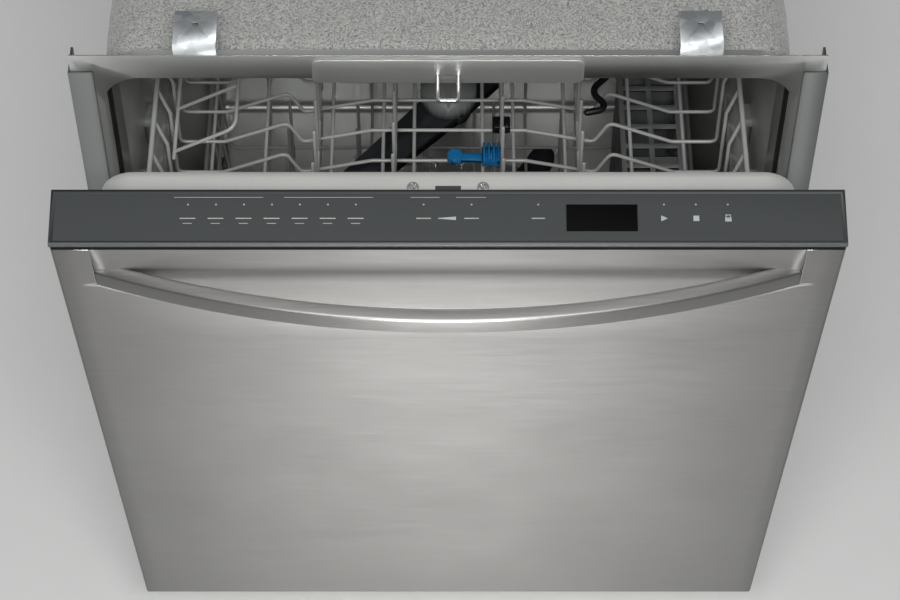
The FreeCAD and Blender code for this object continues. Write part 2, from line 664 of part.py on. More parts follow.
def make_filter_plate():
    """The fine strainer on the tub's floor, with the post that carries the lower spray arm."""
    at = Vector(0, SPRAY_CENTRE, TUB_FLOOR)
    disc = Part.makeCylinder(SUMP_HOLE + 9, PLATE_THICK, at)
    post = Part.makeCylinder(POST_RADIUS, POST_TOP - TUB_FLOOR, at)
    collar = Part.makeCylinder(POST_RADIUS + POST_COLLAR, LOWER_ARM_BOTTOM - SEAT_CLEARANCE - TUB_FLOOR, at)
    hole = cylinder(FILTER_RADIUS + FILTER_CLEARANCE, (FILTER_X, FILTER_Y, TUB_FLOOR - 1), (0, 0, 1),
                    PLATE_THICK + 30)
    return fuse([disc, post, collar]).cut(hole)


def make_filter_cylinder():
    """The coarse filter cup that twists out of the strainer by its top ring."""
    bottom = TUB_FLOOR - 40
    cup = cylinder(FILTER_RADIUS, (FILTER_X, FILTER_Y, bottom), (0, 0, 1), FILTER_TOP - bottom)
    hollow = cylinder(FILTER_RADIUS - 2.5, (FILTER_X, FILTER_Y, bottom + 3), (0, 0, 1), FILTER_TOP - bottom)
    rim = cylinder(FILTER_RADIUS + 4, (FILTER_X, FILTER_Y, TUB_FLOOR + PLATE_THICK), (0, 0, 1), 2.5)
    grip = box(FILTER_X - 4, FILTER_X + 4, FILTER_Y - FILTER_RADIUS + 1, FILTER_Y + FILTER_RADIUS - 1,
               FILTER_TOP - 6, FILTER_TOP)
    return fuse([fuse([cup, rim]).cut(hollow), grip])


def make_heater():
    """The sheathed heating element: an open ring with two legs through the tub's floor."""
    points = []
    start = math.asin(HEATER_LEG / HEATER_RING)
    steps = 22
    sweep = 2 * math.pi - 2 * start
    for step in range(steps + 1):
        a = math.pi / 2 + start + sweep * step / steps
        points.append((HEATER_RING * math.cos(a), SPRAY_CENTRE + HEATER_RING * math.sin(a), HEATER_LEVEL))
    left = (-HEATER_LEG, SPRAY_CENTRE + HEATER_RING, HEATER_LEG_END)
    right = (HEATER_LEG, SPRAY_CENTRE + HEATER_RING, HEATER_LEG_END)
    first = (-HEATER_LEG, SPRAY_CENTRE + HEATER_RING, HEATER_LEVEL)
    last = (HEATER_LEG, SPRAY_CENTRE + HEATER_RING, HEATER_LEVEL)
    return bent_wire([left, first] + points[1:-1] + [last, right], HEATER_TUBE, 7.0)


def make_float():
    """The overfill float: a domed cup over a stem that slides in the tub's floor."""
    z = TUB_FLOOR + SEAT_CLEARANCE
    cup = cylinder(FLOAT_RADIUS, (FLOAT_X, FLOAT_Y, z), (0, 0, 1), FLOAT_HEIGHT)
    rims = [e for e in cup.Edges if e.Length > 1 and all(abs(v.Z - z - FLOAT_HEIGHT) < 1e-6 for v in e.Vertexes)]
    cup = cup.makeFillet(8.0, rims)
    hollow = cylinder(FLOAT_RADIUS - 2.5, (FLOAT_X, FLOAT_Y, z - 1), (0, 0, 1), FLOAT_HEIGHT - 8)
    stem = cylinder(FLOAT_STEM, (FLOAT_X, FLOAT_Y, TUB_FLOOR - 24), (0, 0, 1), FLOAT_HEIGHT + 18)
    return fuse([cup.cut(hollow), stem])


def make_feed_tube():
    """The moulded duct up the tub's back wall that feeds the upper rack."""
    back = TUB_BACK
    duct = rounded_block(-FEED_HALF, FEED_HALF, back - FEED_DEPTH, back, TUB_FLOOR + TUB_CORNER, FEED_TOP, 6.0,
                         (0, 0, 1))
    foot = box(-FEED_HALF + 6, FEED_HALF - 6, back - FEED_DEPTH + 2, back - TUB_CORNER / 2, TUB_FLOOR,
               TUB_FLOOR + TUB_CORNER)
    dock = rounded_block(-DOCK_HALF, DOCK_HALF, back - FEED_DEPTH - DOCK_LENGTH, back - FEED_DEPTH,
                         FEED_TOP - DOCK_HEIGHT, FEED_TOP, 5.0, (0, 1, 0))
    return fuse([duct, foot, dock])


def make_roller_brackets():
    """Plates on the tub's side walls with the pins of the upper rack's rollers."""
    plates = []
    outer = TUB_HALF
    plate_x = ROLLER_INNER + ROLLER_WIDTH + SEAT_CLEARANCE
    for y in ROLLER_STATIONS:
        plate = rounded_block(plate_x, outer, y - STATION_PLATE / 2, y + STATION_PLATE / 2, RAIL_LEVEL - 17,
                              RAIL_LEVEL + 17, 6.0, (1, 0, 0))
        pin = cylinder(ROLLER_PIN, (ROLLER_INNER - SEAT_CLEARANCE, y, RAIL_LEVEL), (1, 0, 0),
                       plate_x - ROLLER_INNER + 2)
        plate = fuse([plate, pin])
        plates.extend([plate, mirrored(plate)])
    return group(plates)


def make_rollers(y):
    """A left and right pair of rollers at one station."""
    roller = cylinder(ROLLER_RADIUS, (ROLLER_INNER, y, RAIL_LEVEL), (1, 0, 0), ROLLER_WIDTH)
    bore = cylinder(ROLLER_PIN + ROLLER_CLEARANCE, (ROLLER_INNER - 1, y, RAIL_LEVEL), (1, 0, 0), ROLLER_WIDTH + 2)
    roller = roller.cut(bore)
    return group([roller, mirrored(roller)])


def make_hinge_brackets():
    """Fixed hinge plates on the frame's channels, each with the pin that the door turns on."""
    x0 = HINGE_X
    x1 = HINGE_X + HINGE_SHEET
    reach = FRAME_FRONT + 26
    low = KICK_TOP + 1
    plate = prism([(x0, PIVOT_Y - 10, low), (x0, reach, low), (x0, reach, PIVOT_Z + 14),
                   (x0, PIVOT_Y - 10, PIVOT_Z + 12)], (HINGE_SHEET, 0, 0))
    tab = box(FRAME_HALF_WIDTH, x1, reach - HINGE_SHEET, reach, low, PIVOT_Z + 14)
    pin = cylinder(HINGE_PIN, (x0, PIVOT_Y, PIVOT_Z), (1, 0, 0), 2 * HINGE_SHEET + 3)
    bracket = fuse([plate, tab, pin])
    return group([bracket, mirrored(bracket)])


def build_cabinet():
    add("tub", make_tub())
    add("gasket", make_gasket())
    add("side_trims", make_side_trims())
    add("strike_plate", make_strike_plate())
    add("strike", make_strike())
    add("counter_brackets", make_counter_brackets())
    add("insulation_blanket", make_blanket())
    add("base_frame", make_base_frame())
    add("kick_plate", make_kick_plate())
    add("sump", make_sump())
    add("wash_pump", make_wash_pump())
    add("drain_pump", make_drain_pump())
    add("inlet_valve", make_inlet_valve())
    add("filter_plate", make_filter_plate())
    add("filter_cylinder", make_filter_cylinder())
    add("heater", make_heater())
    add("overfill_float", make_float())
    add("feed_tube", make_feed_tube())
    add("roller_brackets", make_roller_brackets())
    add("upper_rollers_front", make_rollers(ROLLER_STATIONS[0]))
    add("upper_rollers_rear", make_rollers(ROLLER_STATIONS[1]))
    add("hinge_brackets", make_hinge_brackets())
    names = ("front", "back")
    for end, y in zip(names, FOOT_STATIONS):
        add("foot_%s_left" % end, make_foot(-FOOT_X, y))
        add("foot_%s_right" % end, make_foot(FOOT_X, y))


# Door pieces, drawn shut


def scoop(offset):
    """The space of the finger recess, grown by a sheet thickness for its inner side."""
    r = SCOOP_RADIUS - offset
    base = PIVOT_Z + SCOOP_BOTTOM
    centre_y = PANEL_FACE_Y + SCOOP_RADIUS
    end = math.asin(SCOOP_RISE / r)

    def on_arc(angle):
        return Vector(0, centre_y - r * math.cos(angle), base + r * math.sin(angle))

    top = PANEL_TOP_Z + 2
    front = PANEL_FACE_Y - 2
    arc = Part.Arc(on_arc(0), on_arc(end / 2), on_arc(end)).toShape()
    corners = [on_arc(end), Vector(0, on_arc(end).y, top), Vector(0, front, top), Vector(0, front, base), on_arc(0)]
    lines = [Part.LineSegment(a, b).toShape() for a, b in zip(corners, corners[1:])]
    face = Part.Face(Part.Wire([arc] + lines))
    half = SCOOP_WIDTH / 2 + offset
    face.translate(Vector(-half, 0, 0))
    return face.extrude(Vector(2 * half, 0, 0))


def door_block():
    """The door's outer form as a full block, with rounded front edges and the recess taken out."""
    block = box(-DOOR_HALF, DOOR_HALF, PANEL_FACE_Y, LINER_Y, PANEL_BOTTOM_Z, PANEL_TOP_Z)
    front = [e for e in block.Edges if is_along(e, (0, 0, 1)) and e.Vertexes[0].Y < PANEL_FACE_Y + 1]
    return block.makeFillet(PANEL_EDGE, front).cut(scoop(0))


def make_door_skin():
    s = PANEL_SHEET
    inner = box(-DOOR_HALF + s, DOOR_HALF - s, PANEL_FACE_Y + s, LINER_Y + 1, PANEL_BOTTOM_Z + s, PANEL_TOP_Z + 1)
    skin = door_block().cut(inner.cut(scoop(s)))
    hinge_way = box(-DOOR_HALF + s, DOOR_HALF - s, PIVOT_Y - ARM_HUB - 2, LINER_Y + 1, PANEL_BOTTOM_Z - 1,
                    PANEL_BOTTOM_Z + s + 1)
    holes = [handle_screw_axis(side, SCREW_SHANK + 0.1, 20) for side in (-1, 1)]
    return skin.cut(hinge_way).cut(group(holes))


def handle_seat_y(above=0.0):
    """The y of the recess's sheet, on its inner side, at or above the handle's screws."""
    rise = HANDLE_MIDDLE_Z - PIVOT_Z - SCOOP_BOTTOM + above
    r = SCOOP_RADIUS - PANEL_SHEET
    return PANEL_FACE_Y + SCOOP_RADIUS - math.sqrt(r ** 2 - rise ** 2)


def handle_screw_axis(side, radius, length):
    """A round bar along a handle screw, from behind the sheet towards the front."""
    start = (side * HANDLE_SCREW_X, handle_seat_y() + length / 2, HANDLE_MIDDLE_Z)
    return cylinder(radius, start, (0, -1, 0), length)


def make_handle():
    """The bowed bar: a rounded section turned about a far upright axis, trimmed by the door's face."""
    outer_y = PANEL_FACE_Y - HANDLE_PROTRUSION
    low = PIVOT_Z + HANDLE_TOP - HANDLE_HEIGHT
    bar = rounded_block(0, 1, outer_y, outer_y + HANDLE_THICK, low, low + HANDLE_HEIGHT, HANDLE_ROUND, (1, 0, 0))
    section = [f for f in bar.Faces if all(abs(v.X) < 1e-6 for v in f.Vertexes)][0]
    centre = Vector(0, outer_y + HANDLE_RADIUS, 0)
    reach = math.degrees(math.asin(HANDLE_HALF / HANDLE_RADIUS))
    section.rotate(centre, Vector(0, 0, 1), -reach)
    bowed = section.revolve(centre, Vector(0, 0, 1), 2 * reach)
    for side in (-1, 1):
        hole = cylinder(SCREW_SHANK, (side * HANDLE_SCREW_X, handle_seat_y(), HANDLE_MIDDLE_Z), (0, -1, 0),
                        HANDLE_SCREW_LENGTH + 0.5)
        bowed = bowed.cut(hole)
    return bowed.cut(door_block())


def console_top(y):
    """The height of the console's sloping top at a depth."""
    return PANEL_TOP_Z + CONSOLE_FRONT_RISE + (y - CONSOLE_FRONT) * CONSOLE_SLOPE


def console_slab(front, back, low, high, x0, x1):
    """A slab parallel to the console's top, between two depths below it."""
    corners = [(x0, front, console_top(front) - low), (x0, back, console_top(back) - low),
               (x0, back, console_top(back) - high), (x0, front, console_top(front) - high)]
    return prism(corners, (x1 - x0, 0, 0))


def make_console():
    base = PANEL_TOP_Z
    outline = [(-DOOR_HALF, CONSOLE_FRONT, base), (-DOOR_HALF, LINER_Y, base),
               (-DOOR_HALF, LINER_Y, console_top(LINER_Y)), (-DOOR_HALF, CONSOLE_FRONT, console_top(CONSOLE_FRONT))]
    block = prism(outline, (DOOR_WIDTH, 0, 0))
    edges = [e for e in block.Edges if is_along(e, (1, 0, 0)) and e.Vertexes[0].Y < CONSOLE_FRONT + 1]
    block = block.makeFillet(CONSOLE_ROUND, edges)
    s = CONSOLE_SHELL
    front = CONSOLE_FRONT + CONSOLE_SOLID
    hollow = console_slab(front, LINER_Y - s, s + OVERLAY_THICK, 30, -DOOR_HALF + s, DOOR_HALF - s)
    b = OVERLAY_BORDER
    recess = console_slab(CONSOLE_FRONT + b, LINER_Y - b, -5, OVERLAY_THICK, -DOOR_HALF + b, DOOR_HALF - b)
    return block.cut(hollow).cut(recess)


def display_slab(gap, low):
    """The display's place on the overlay, grown by a gap."""
    return console_slab(DISPLAY_BACK - DISPLAY_DEPTH - gap, DISPLAY_BACK + gap, low, OVERLAY_THICK,
                        DISPLAY_LEFT - gap, DISPLAY_LEFT + DISPLAY_WIDTH + gap)


def make_console_overlay():
    b = OVERLAY_BORDER + OVERLAY_GAP
    sheet = console_slab(CONSOLE_FRONT + b, LINER_Y - b, 0, OVERLAY_THICK, -DOOR_HALF + b, DOOR_HALF - b)
    return sheet.cut(display_slab(SEAT_CLEARANCE, -2))


def make_control_board():
    """The printed board under the console, with its relays and connector."""
    y0 = CONSOLE_FRONT + CONSOLE_SOLID - 2
    y1 = LINER_Y - CONSOLE_SHELL
    top = PANEL_TOP_Z
    board = box(-BOARD_HALF, BOARD_HALF, y0, y1, top - BOARD_THICK, top)
    parts = [board]
    for step in range(5):
        x = -BOARD_HALF + 30 + 24 * step
        parts.append(box(x, x + 16, y0 + 6, y0 + 22, top - BOARD_THICK - 14, top - BOARD_THICK))
    parts.append(box(BOARD_HALF - 60, BOARD_HALF - 20, y0 + 8, y0 + 18, top - BOARD_THICK - 9, top - BOARD_THICK))
    return fuse(parts)


def plateau(inset):
    """The raised middle of the inner liner, as a full form."""
    half = PLATEAU_WIDTH / 2 - inset
    low = PIVOT_Z + PLATEAU_BOTTOM + inset
    high = PLATEAU_TOP_Z - inset
    back = PLATEAU_Y - inset
    form = rounded_block(-half, half, LINER_Y - LINER_SHEET - inset, back, low, high, PLATEAU_CORNER - inset,
                         (0, 1, 0))
    rim = [e for e in form.Edges if all(abs(v.Y - back) < 1e-6 for v in e.Vertexes)]
    return form.makeFillet(PLATEAU_EDGE - inset, rim)


def make_door_liner():
    flange = box(-LINER_HALF, LINER_HALF, LINER_Y - LINER_SHEET, LINER_Y, LINER_FOOT, PANEL_TOP_Z)
    liner = fuse([flange, plateau(0)]).cut(plateau(LINER_SHEET))
    slot = LATCH_SLOT / 2
    strike_way = rounded_block(-slot, slot, LINER_Y - 3, LINER_Y + 1, STRIKE_LEVEL - 5, STRIKE_LEVEL + 5, 2.0,
                               (0, 1, 0))
    hook_way = box(-slot + 2, slot - 2, SCREW_Y - 3, SCREW_Y + 2, PLATEAU_TOP_Z - 3, PLATEAU_TOP_Z + 1)
    liner = liner.cut(strike_way).cut(hook_way)
    for side in (-1, 1):
        at = (side * SCREW_SPACING / 2, SCREW_Y, PLATEAU_TOP_Z - 3)
        liner = liner.cut(cylinder(SCREW_SHANK + 0.1, at, (0, 0, 1), 6))
    return liner.cut(dispenser_way(SEAT_CLEARANCE))


def dispenser_way(gap):
    """The block of the dispenser that passes through the liner."""
    half = DISPENSER_WIDTH / 2 - DISPENSER_RIM + gap
    tall = DISPENSER_HEIGHT / 2 - DISPENSER_RIM + gap
    return rounded_block(-half, half, PLATEAU_Y - DISPENSER_DEPTH, PLATEAU_Y, DISPENSER_CENTRE - tall,
                         DISPENSER_CENTRE + tall, 6.0, (0, 1, 0))


def make_dispenser_body():
    half = DISPENSER_WIDTH / 2
    tall = DISPENSER_HEIGHT / 2
    rim = rounded_block(-half, half, PLATEAU_Y, PLATEAU_Y + DISPENSER_PROUD, DISPENSER_CENTRE - tall,
                        DISPENSER_CENTRE + tall, 10.0, (0, 1, 0))
    cup = DISPENSER_LID - 2 * LID_OVERLAP
    low = DISPENSER_CENTRE - cup / 2
    hollow = rounded_block(CUP_LEFT, CUP_LEFT + cup, PLATEAU_Y - DISPENSER_DEPTH + 6, PLATEAU_Y + 9, low, low + cup,
                           7.0, (0, 1, 0))
    well = cylinder(RINSE_CAP + 2, (CAP_X, PLATEAU_Y + 0.4, DISPENSER_CENTRE), (0, 1, 0), 9)
    return fuse([rim, dispenser_way(0)]).cut(hollow).cut(well)


def make_dispenser_lid():
    """The sliding lid over the detergent cup, with a raised thumb edge."""
    y = PLATEAU_Y + DISPENSER_PROUD + SEAT_CLEARANCE
    low = DISPENSER_CENTRE - DISPENSER_LID / 2
    left = CUP_LEFT - LID_OVERLAP
    plate = rounded_block(left, left + DISPENSER_LID, y, y + LID_THICK, low, low + DISPENSER_LID, 5.0, (0, 1, 0))
    thumb = box(left + 6, left + 10, y, y + LID_THICK + 3, low + 14, low + DISPENSER_LID - 14)
    return fuse([plate, thumb])


def make_rinse_cap():
    """The round cap of the rinse aid tank, with a finger bar across it."""
    y = PLATEAU_Y + 0.4 + SEAT_CLEARANCE
    disc = cylinder(RINSE_CAP, (CAP_X, y, DISPENSER_CENTRE), (0, 1, 0), CAP_HEIGHT - 4)
    bar = rounded_block(CAP_X - RINSE_CAP + 4, CAP_X + RINSE_CAP - 4, y, y + CAP_HEIGHT, DISPENSER_CENTRE - 3,
                        DISPENSER_CENTRE + 3, 2.0, (0, 1, 0))
    return fuse([disc, bar])


def make_latch_housing():
    """The latch block behind the console: a foot under the liner's top and a channel for the strike."""
    under = PLATEAU_TOP_Z - LINER_SHEET
    front = LATCH_FRONT
    foot = box(-LATCH_HALF, LATCH_HALF, front, SCREW_Y + 9, LATCH_FLOOR, under)
    tower = box(-LATCH_HALF, LATCH_HALF, front, LINER_Y - LINER_SHEET, LATCH_FLOOR, PANEL_TOP_Z - BOARD_THICK - 15)
    channel = LATCH_SLOT / 2 + 0.5
    way = box(-channel, channel, front + 4, LINER_Y + 9, HOOK_PIN_Z - 8, STRIKE_LEVEL + 30)
    block = fuse([foot, tower]).cut(way)
    for side in (-1, 1):
        at = (side * SCREW_SPACING / 2, SCREW_Y, under - SCREW_LENGTH)
        block = block.cut(cylinder(SCREW_SHANK, at, (0, 0, 1), SCREW_LENGTH + 1))
    pin = cylinder(HOOK_PIN, (-channel - 2, HOOK_PIN_Y, HOOK_PIN_Z), (1, 0, 0), 2 * channel + 4)
    return fuse([block, pin])


def make_latch_hook():
    """The small hook that swings up behind the strike's bar."""
    half = HOOK_WIDTH / 2
    hub = cylinder(HOOK_PIN + 3, (-half, HOOK_PIN_Y, HOOK_PIN_Z), (1, 0, 0), HOOK_WIDTH)
    arm = box(-half, half, HOOK_PIN_Y - 9, HOOK_PIN_Y, HOOK_PIN_Z - 3, HOOK_PIN_Z + 2)
    claw = box(-half, half, HOOK_PIN_Y - 13, HOOK_PIN_Y - 8, HOOK_PIN_Z - 3, HOOK_PIN_Z + 6)
    bore = cylinder(HOOK_PIN + 0.05, (-half - 1, HOOK_PIN_Y, HOOK_PIN_Z), (1, 0, 0), HOOK_WIDTH + 2)
    return fuse([hub, arm, claw]).cut(bore)


def make_door_screws():
    """The two liner screws and the two handle screws."""
    screws = []
    for side in (-1, 1):
        x = side * SCREW_SPACING / 2
        head = cylinder(SCREW_HEAD, (x, SCREW_Y, PLATEAU_TOP_Z), (0, 0, 1), 2.2)
        head = head.makeFillet(1.2, [e for e in head.Edges if e.Vertexes[0].Z > PLATEAU_TOP_Z + 1 and e.Closed])
        shank = cylinder(SCREW_SHANK, (x, SCREW_Y, PLATEAU_TOP_Z - SCREW_LENGTH + 1), (0, 0, 1), SCREW_LENGTH)
        screws.append(fuse([head, shank]))
        seat = handle_seat_y(SCREW_HEAD) + SEAT_CLEARANCE / 2
        x = side * HANDLE_SCREW_X
        head = cylinder(SCREW_HEAD, (x, seat, HANDLE_MIDDLE_Z), (0, 1, 0), 3)
        shank = cylinder(SCREW_SHANK, (x, seat, HANDLE_MIDDLE_Z), (0, -1, 0), HANDLE_SCREW_LENGTH)
        screws.append(fuse([head, shank]))
    return group(screws)


def make_hinge_arms():
    """The door's hinge arms, each a plate with an eye round the bracket's pin."""
    eye = cylinder(ARM_HUB, (ARM_INNER, PIVOT_Y, PIVOT_Z), (1, 0, 0), HINGE_SHEET)
    plate = box(ARM_INNER, ARM_INNER + HINGE_SHEET, PIVOT_Y - ARM_HUB, LINER_Y - LINER_SHEET, PIVOT_Z, ARM_TOP)
    bore = cylinder(HINGE_PIN + HINGE_PIN_CLEARANCE, (ARM_INNER - 1, PIVOT_Y, PIVOT_Z), (1, 0, 0), HINGE_SHEET + 2)
    arm = fuse([eye, plate]).cut(bore)
    return group([arm, mirrored(arm)])


def build_door():
    add("door_skin", make_door_skin(), DOOR_NODES)
    add("handle", make_handle(), DOOR_NODES)
    add("console", make_console(), DOOR_NODES)
    add("console_overlay", make_console_overlay(), DOOR_NODES)
    add("display_window", display_slab(0, 0), DOOR_NODES)
    add("control_board", make_control_board(), DOOR_NODES)
    add("door_liner", make_door_liner(), DOOR_NODES)
    add("dispenser_body", make_dispenser_body(), DOOR_NODES)
    add("dispenser_lid", make_dispenser_lid(), DOOR_NODES)
    add("rinse_cap", make_rinse_cap(), DOOR_NODES)
    add("latch_housing", make_latch_housing(), DOOR_NODES)
    add("latch_hook", make_latch_hook(), DOOR_NODES)
    add("door_screws", make_door_screws(), DOOR_NODES)
    add("hinge_arms", make_hinge_arms(), DOOR_NODES)


# Racks, drawn pushed home


def floor_drop(x):
    """How far the upper rack's contoured floor lies from its middle level at a distance from centre."""
    x = abs(x)
    corners = [(0, 0), (FLAT_HALF, 0), (TROUGH_X, -TROUGH_DROP), (RIDGE_X, RIDGE_RISE),
               (SHOULDER_X, -TROUGH_DROP), (WALL_X, -TROUGH_DROP)]
    for (x0, z0), (x1, z1) in zip(corners, corners[1:]):
        if x <= x1:
            return z0 + (z1 - z0) * (x - x0) / (x1 - x0)
    return -TROUGH_DROP


def cross_stations(front, back):
    """The places of a rack's cross wires."""
    count = int((back - front - 2 * END_SPLIT - WIRE) // CROSS_PITCH)
    return [front + FIRST_CROSS + CROSS_PITCH * k for k in range(count)]


def rim_wires(half, front, back, level):
    """The wire round a rack, as a right and a left half that are welded at the middle."""
    halves = []
    for side in (-1, 1):
        x = side * half
        halves.append(bent_wire([(0, back, level), (x, back, level), (x, front, level), (0, front, level)],
                                RIM_WIRE, RIM_BEND))
    return halves


def split_basket(basket, half, front, back):
    """Cut a welded basket where its floor turns up, so that each wall is a flat grid of its own."""
    far = 400.0
    low = 0.0
    high = 900.0
    inner = half - WALL_SPLIT
    y0 = front + END_SPLIT
    y1 = back - END_SPLIT
    regions = [box(-inner, inner, y0, y1, low, high), box(-inner, inner, front - far, y0, low, high),
               box(-inner, inner, y1, back + far, low, high),
               box(-far, -inner, front - far, back + far, low, high),
               box(inner, far, front - far, back + far, low, high)]
    solids = []
    for region in regions:
        solids.extend(basket.common(region).Solids)
    return group(solids)


def make_upper_basket():
    right = [(UPPER_HALF_RIM, UPPER_RIM), (WALL_X, UPPER_RIM - LEAN_HEIGHT), (WALL_X, UPPER_FLOOR - TROUGH_DROP),
             (SHOULDER_X, UPPER_FLOOR - TROUGH_DROP), (RIDGE_X, UPPER_FLOOR + RIDGE_RISE),
             (TROUGH_X, UPPER_FLOOR - TROUGH_DROP), (FLAT_HALF, UPPER_FLOOR)]
    section = right + [(-x, z) for x, z in reversed(right)]
    stations = cross_stations(RACK_FRONT, RACK_BACK)
    wires = [bent_wire([(x, y, z) for x, z in section], WIRE, FLOOR_BEND) for y in stations]
    for x in [s * v for v in UPPER_LENGTHWISE for s in (-1, 1)]:
        z = UPPER_FLOOR + floor_drop(x) - 2 * WIRE + WELD_SINK
        wires.append(bent_wire([(x, RACK_FRONT, UPPER_RIM), (x, RACK_FRONT, z), (x, RACK_BACK, z),
                                (x, RACK_BACK, UPPER_RIM)], WIRE))
    wires.extend(rim_wires(UPPER_HALF_RIM, RACK_FRONT, RACK_BACK, UPPER_RIM))
    return split_basket(fuse(wires), UPPER_HALF_FLOOR, RACK_FRONT, RACK_BACK)


def make_lower_basket():
    right = [(LOWER_HALF_RIM, LOWER_RIM), (LOWER_HALF_FLOOR, LOWER_FLOOR)]
    section = right + [(-x, z) for x, z in reversed(right)]
    stations = cross_stations(LOWER_FRONT, LOWER_BACK)
    wires = [bent_wire([(x, y, z) for x, z in section], WIRE) for y in stations]
    for x in [s * v for v in LOWER_LENGTHWISE for s in (-1, 1)]:
        z = LOWER_FLOOR - 2 * WIRE + WELD_SINK
        wires.append(bent_wire([(x, LOWER_FRONT, LOWER_RIM), (x, LOWER_FRONT, z), (x, LOWER_BACK, z),
                                (x, LOWER_BACK, LOWER_RIM)], WIRE))
    wires.extend(rim_wires(LOWER_HALF_RIM, LOWER_FRONT, LOWER_BACK, LOWER_RIM))
    middle = (LOWER_FLOOR + LOWER_RIM) / 2
    wires.extend(rim_wires((LOWER_HALF_FLOOR + LOWER_HALF_RIM) / 2, LOWER_FRONT, LOWER_BACK, middle))
    return split_basket(fuse(wires), LOWER_HALF_FLOOR, LOWER_FRONT, LOWER_BACK)


def tine_row(x, base, height, stations):
    """One row of upright tines on a lengthwise base wire."""
    first = stations[0] - 8
    last = stations[-1] + 8
    wires = [bent_wire([(x, first, base), (x, last, base)], WIRE)]
    for y in stations:
        wires.append(bent_wire([(x, y, base), (x, y, base + height)], WIRE))
    return fuse(wires)


def between(stations):
    """The places midway between neighbouring cross wires."""
    return [(a + b) / 2 for a, b in zip(stations, stations[1:])]


def make_upper_tines():
    stations = between(cross_stations(RACK_FRONT, RACK_BACK))
    rows = []
    for x in (-OUTER_ROW_X, -FOLD_ROW_X, OUTER_ROW_X):
        level = max(floor_drop(x - WIRE_CORNER), floor_drop(x + WIRE_CORNER))
        base = UPPER_FLOOR + level + 2 * WIRE_CORNER + REST_GAP
        rows.append(tine_row(x, base, TINE_HEIGHT, stations))
    return group(rows)


def make_fold_tines():
    stations = between(cross_stations(RACK_FRONT, RACK_BACK))
    return tine_row(FOLD_ROW_X, FOLD_AXIS_Z, FOLD_TINE_HEIGHT, stations)


def make_fold_grip():
    """The blue lever on the folding row: a ribbed grip, an arm and a clip round the base wire."""
    low = UPPER_FLOOR + WIRE_CORNER + 0.5
    y0 = GRIP_Y - 8
    y1 = GRIP_Y + 8
    arm = box(4, FOLD_ROW_X, y0 + 4, y1 - 4, low, low + 4)
    left = FOLD_ROW_X - 18
    grip = box(left, FOLD_ROW_X + 1, y0, y1, low, low + 8)
    parts = [arm, grip]
    for step in range(4):
        x = left + 1 + 4.4 * step
        parts.append(box(x, x + 2.0, y0, y1, low + 8, low + 14))
    parts.append(cylinder(7, (6, GRIP_Y, low), (0, 0, 1), 7))
    bore = cylinder(WIRE_CORNER + 0.05, (FOLD_ROW_X, y0 - 1, FOLD_AXIS_Z), (0, 1, 0), y1 - y0 + 2)
    return fuse(parts).cut(bore)


def make_tine_clips():
    """The black clips that hold the folding row to the cross wires."""
    clips = []
    low = UPPER_FLOOR + WIRE_CORNER + 0.1
    for y in CLIP_STATIONS:
        block = rounded_block(FOLD_ROW_X - 8, FOLD_ROW_X + 8, y - 6, y + 6, low, FOLD_AXIS_Z + 7, 2.0, (0, 1, 0))
        bore = cylinder(WIRE_CORNER + 0.3, (FOLD_ROW_X, y - 7, FOLD_AXIS_Z), (0, 1, 0), 14)
        clips.append(block.cut(bore))
    return group(clips)


def make_stem_holder():
    """The soft wavy strip that steadies glass stems, held between two tines of the outer row."""
    stations = between(cross_stations(RACK_FRONT, RACK_BACK))
    y0 = stations[3]
    y1 = stations[5]
    z = UPPER_FLOOR + 44
    near = OUTER_ROW_X + WIRE_CORNER + REST_GAP
    wave = [(near, y0, z), (near + 24, y0 + 6, z), (near + 6, (y0 + y1) / 2 - 10, z),
            (near + 26, (y0 + y1) / 2 + 12, z), (near + 14, y1, z), (near, y1, z)]
    return bent_wire(wave, 3.0, 12.0)


def make_cup_shelf():
    """The small wire shelf at the left wall, tilted up on its hinge wire."""
    wires = []
    y0 = SHELF_FRONT
    y1 = SHELF_FRONT + SHELF_LENGTH
    x0 = -SHELF_AXIS_X
    x1 = x0 + SHELF_REACH
    z = SHELF_AXIS_Z
    wires.append(cylinder(WIRE, (x0, y0 - SHELF_PIN, z), (0, 1, 0), SHELF_LENGTH + 2 * SHELF_PIN))
    wires.append(bent_wire([(x0, y0, z), (x1, y0, z), (x1, y1, z), (x0, y1, z)], WIRE, 10.0))
    count = 6
    for step in range(1, count):
        y = y0 + SHELF_LENGTH * step / count
        wires.append(bent_wire([(x0, y, z), (x1, y, z)], WIRE))
    shelf = fuse(wires)
    shelf.rotate(Vector(x0, 0, z), Vector(0, 1, 0), -SHELF_TILT)
    return shelf


def make_upper_rails():
    """The channels on the rack's sides that run over the rollers."""
    inner = RAIL_WEB
    outer = ROLLER_INNER + ROLLER_WIDTH
    low = RAIL_LEVEL - ROLLER_RADIUS - RAIL_GAP
    high = RAIL_LEVEL + ROLLER_RADIUS + RAIL_GAP
    s = RAIL_SHEET
    web = box(inner, inner + s, RAIL_FRONT, RACK_BACK, low - s, high + s)
    top = box(inner, outer, RAIL_FRONT, RACK_BACK, high, high + s)
    bottom = box(inner, outer, RAIL_FRONT, RACK_BACK, low - s, low)
    rail = fuse([web, top, bottom])
    return group([rail, mirrored(rail)])


def make_rail_stops():
    """The black end caps on the rails' front ends."""
    outer = ROLLER_INNER + ROLLER_WIDTH
    reach = RAIL_LEVEL + ROLLER_RADIUS + RAIL_GAP + RAIL_SHEET + 3
    low = 2 * RAIL_LEVEL - reach
    cap = rounded_block(RAIL_WEB, outer, STOP_FRONT, RAIL_FRONT, low, reach, 3.0, (0, 1, 0))
    return group([cap, mirrored(cap)])


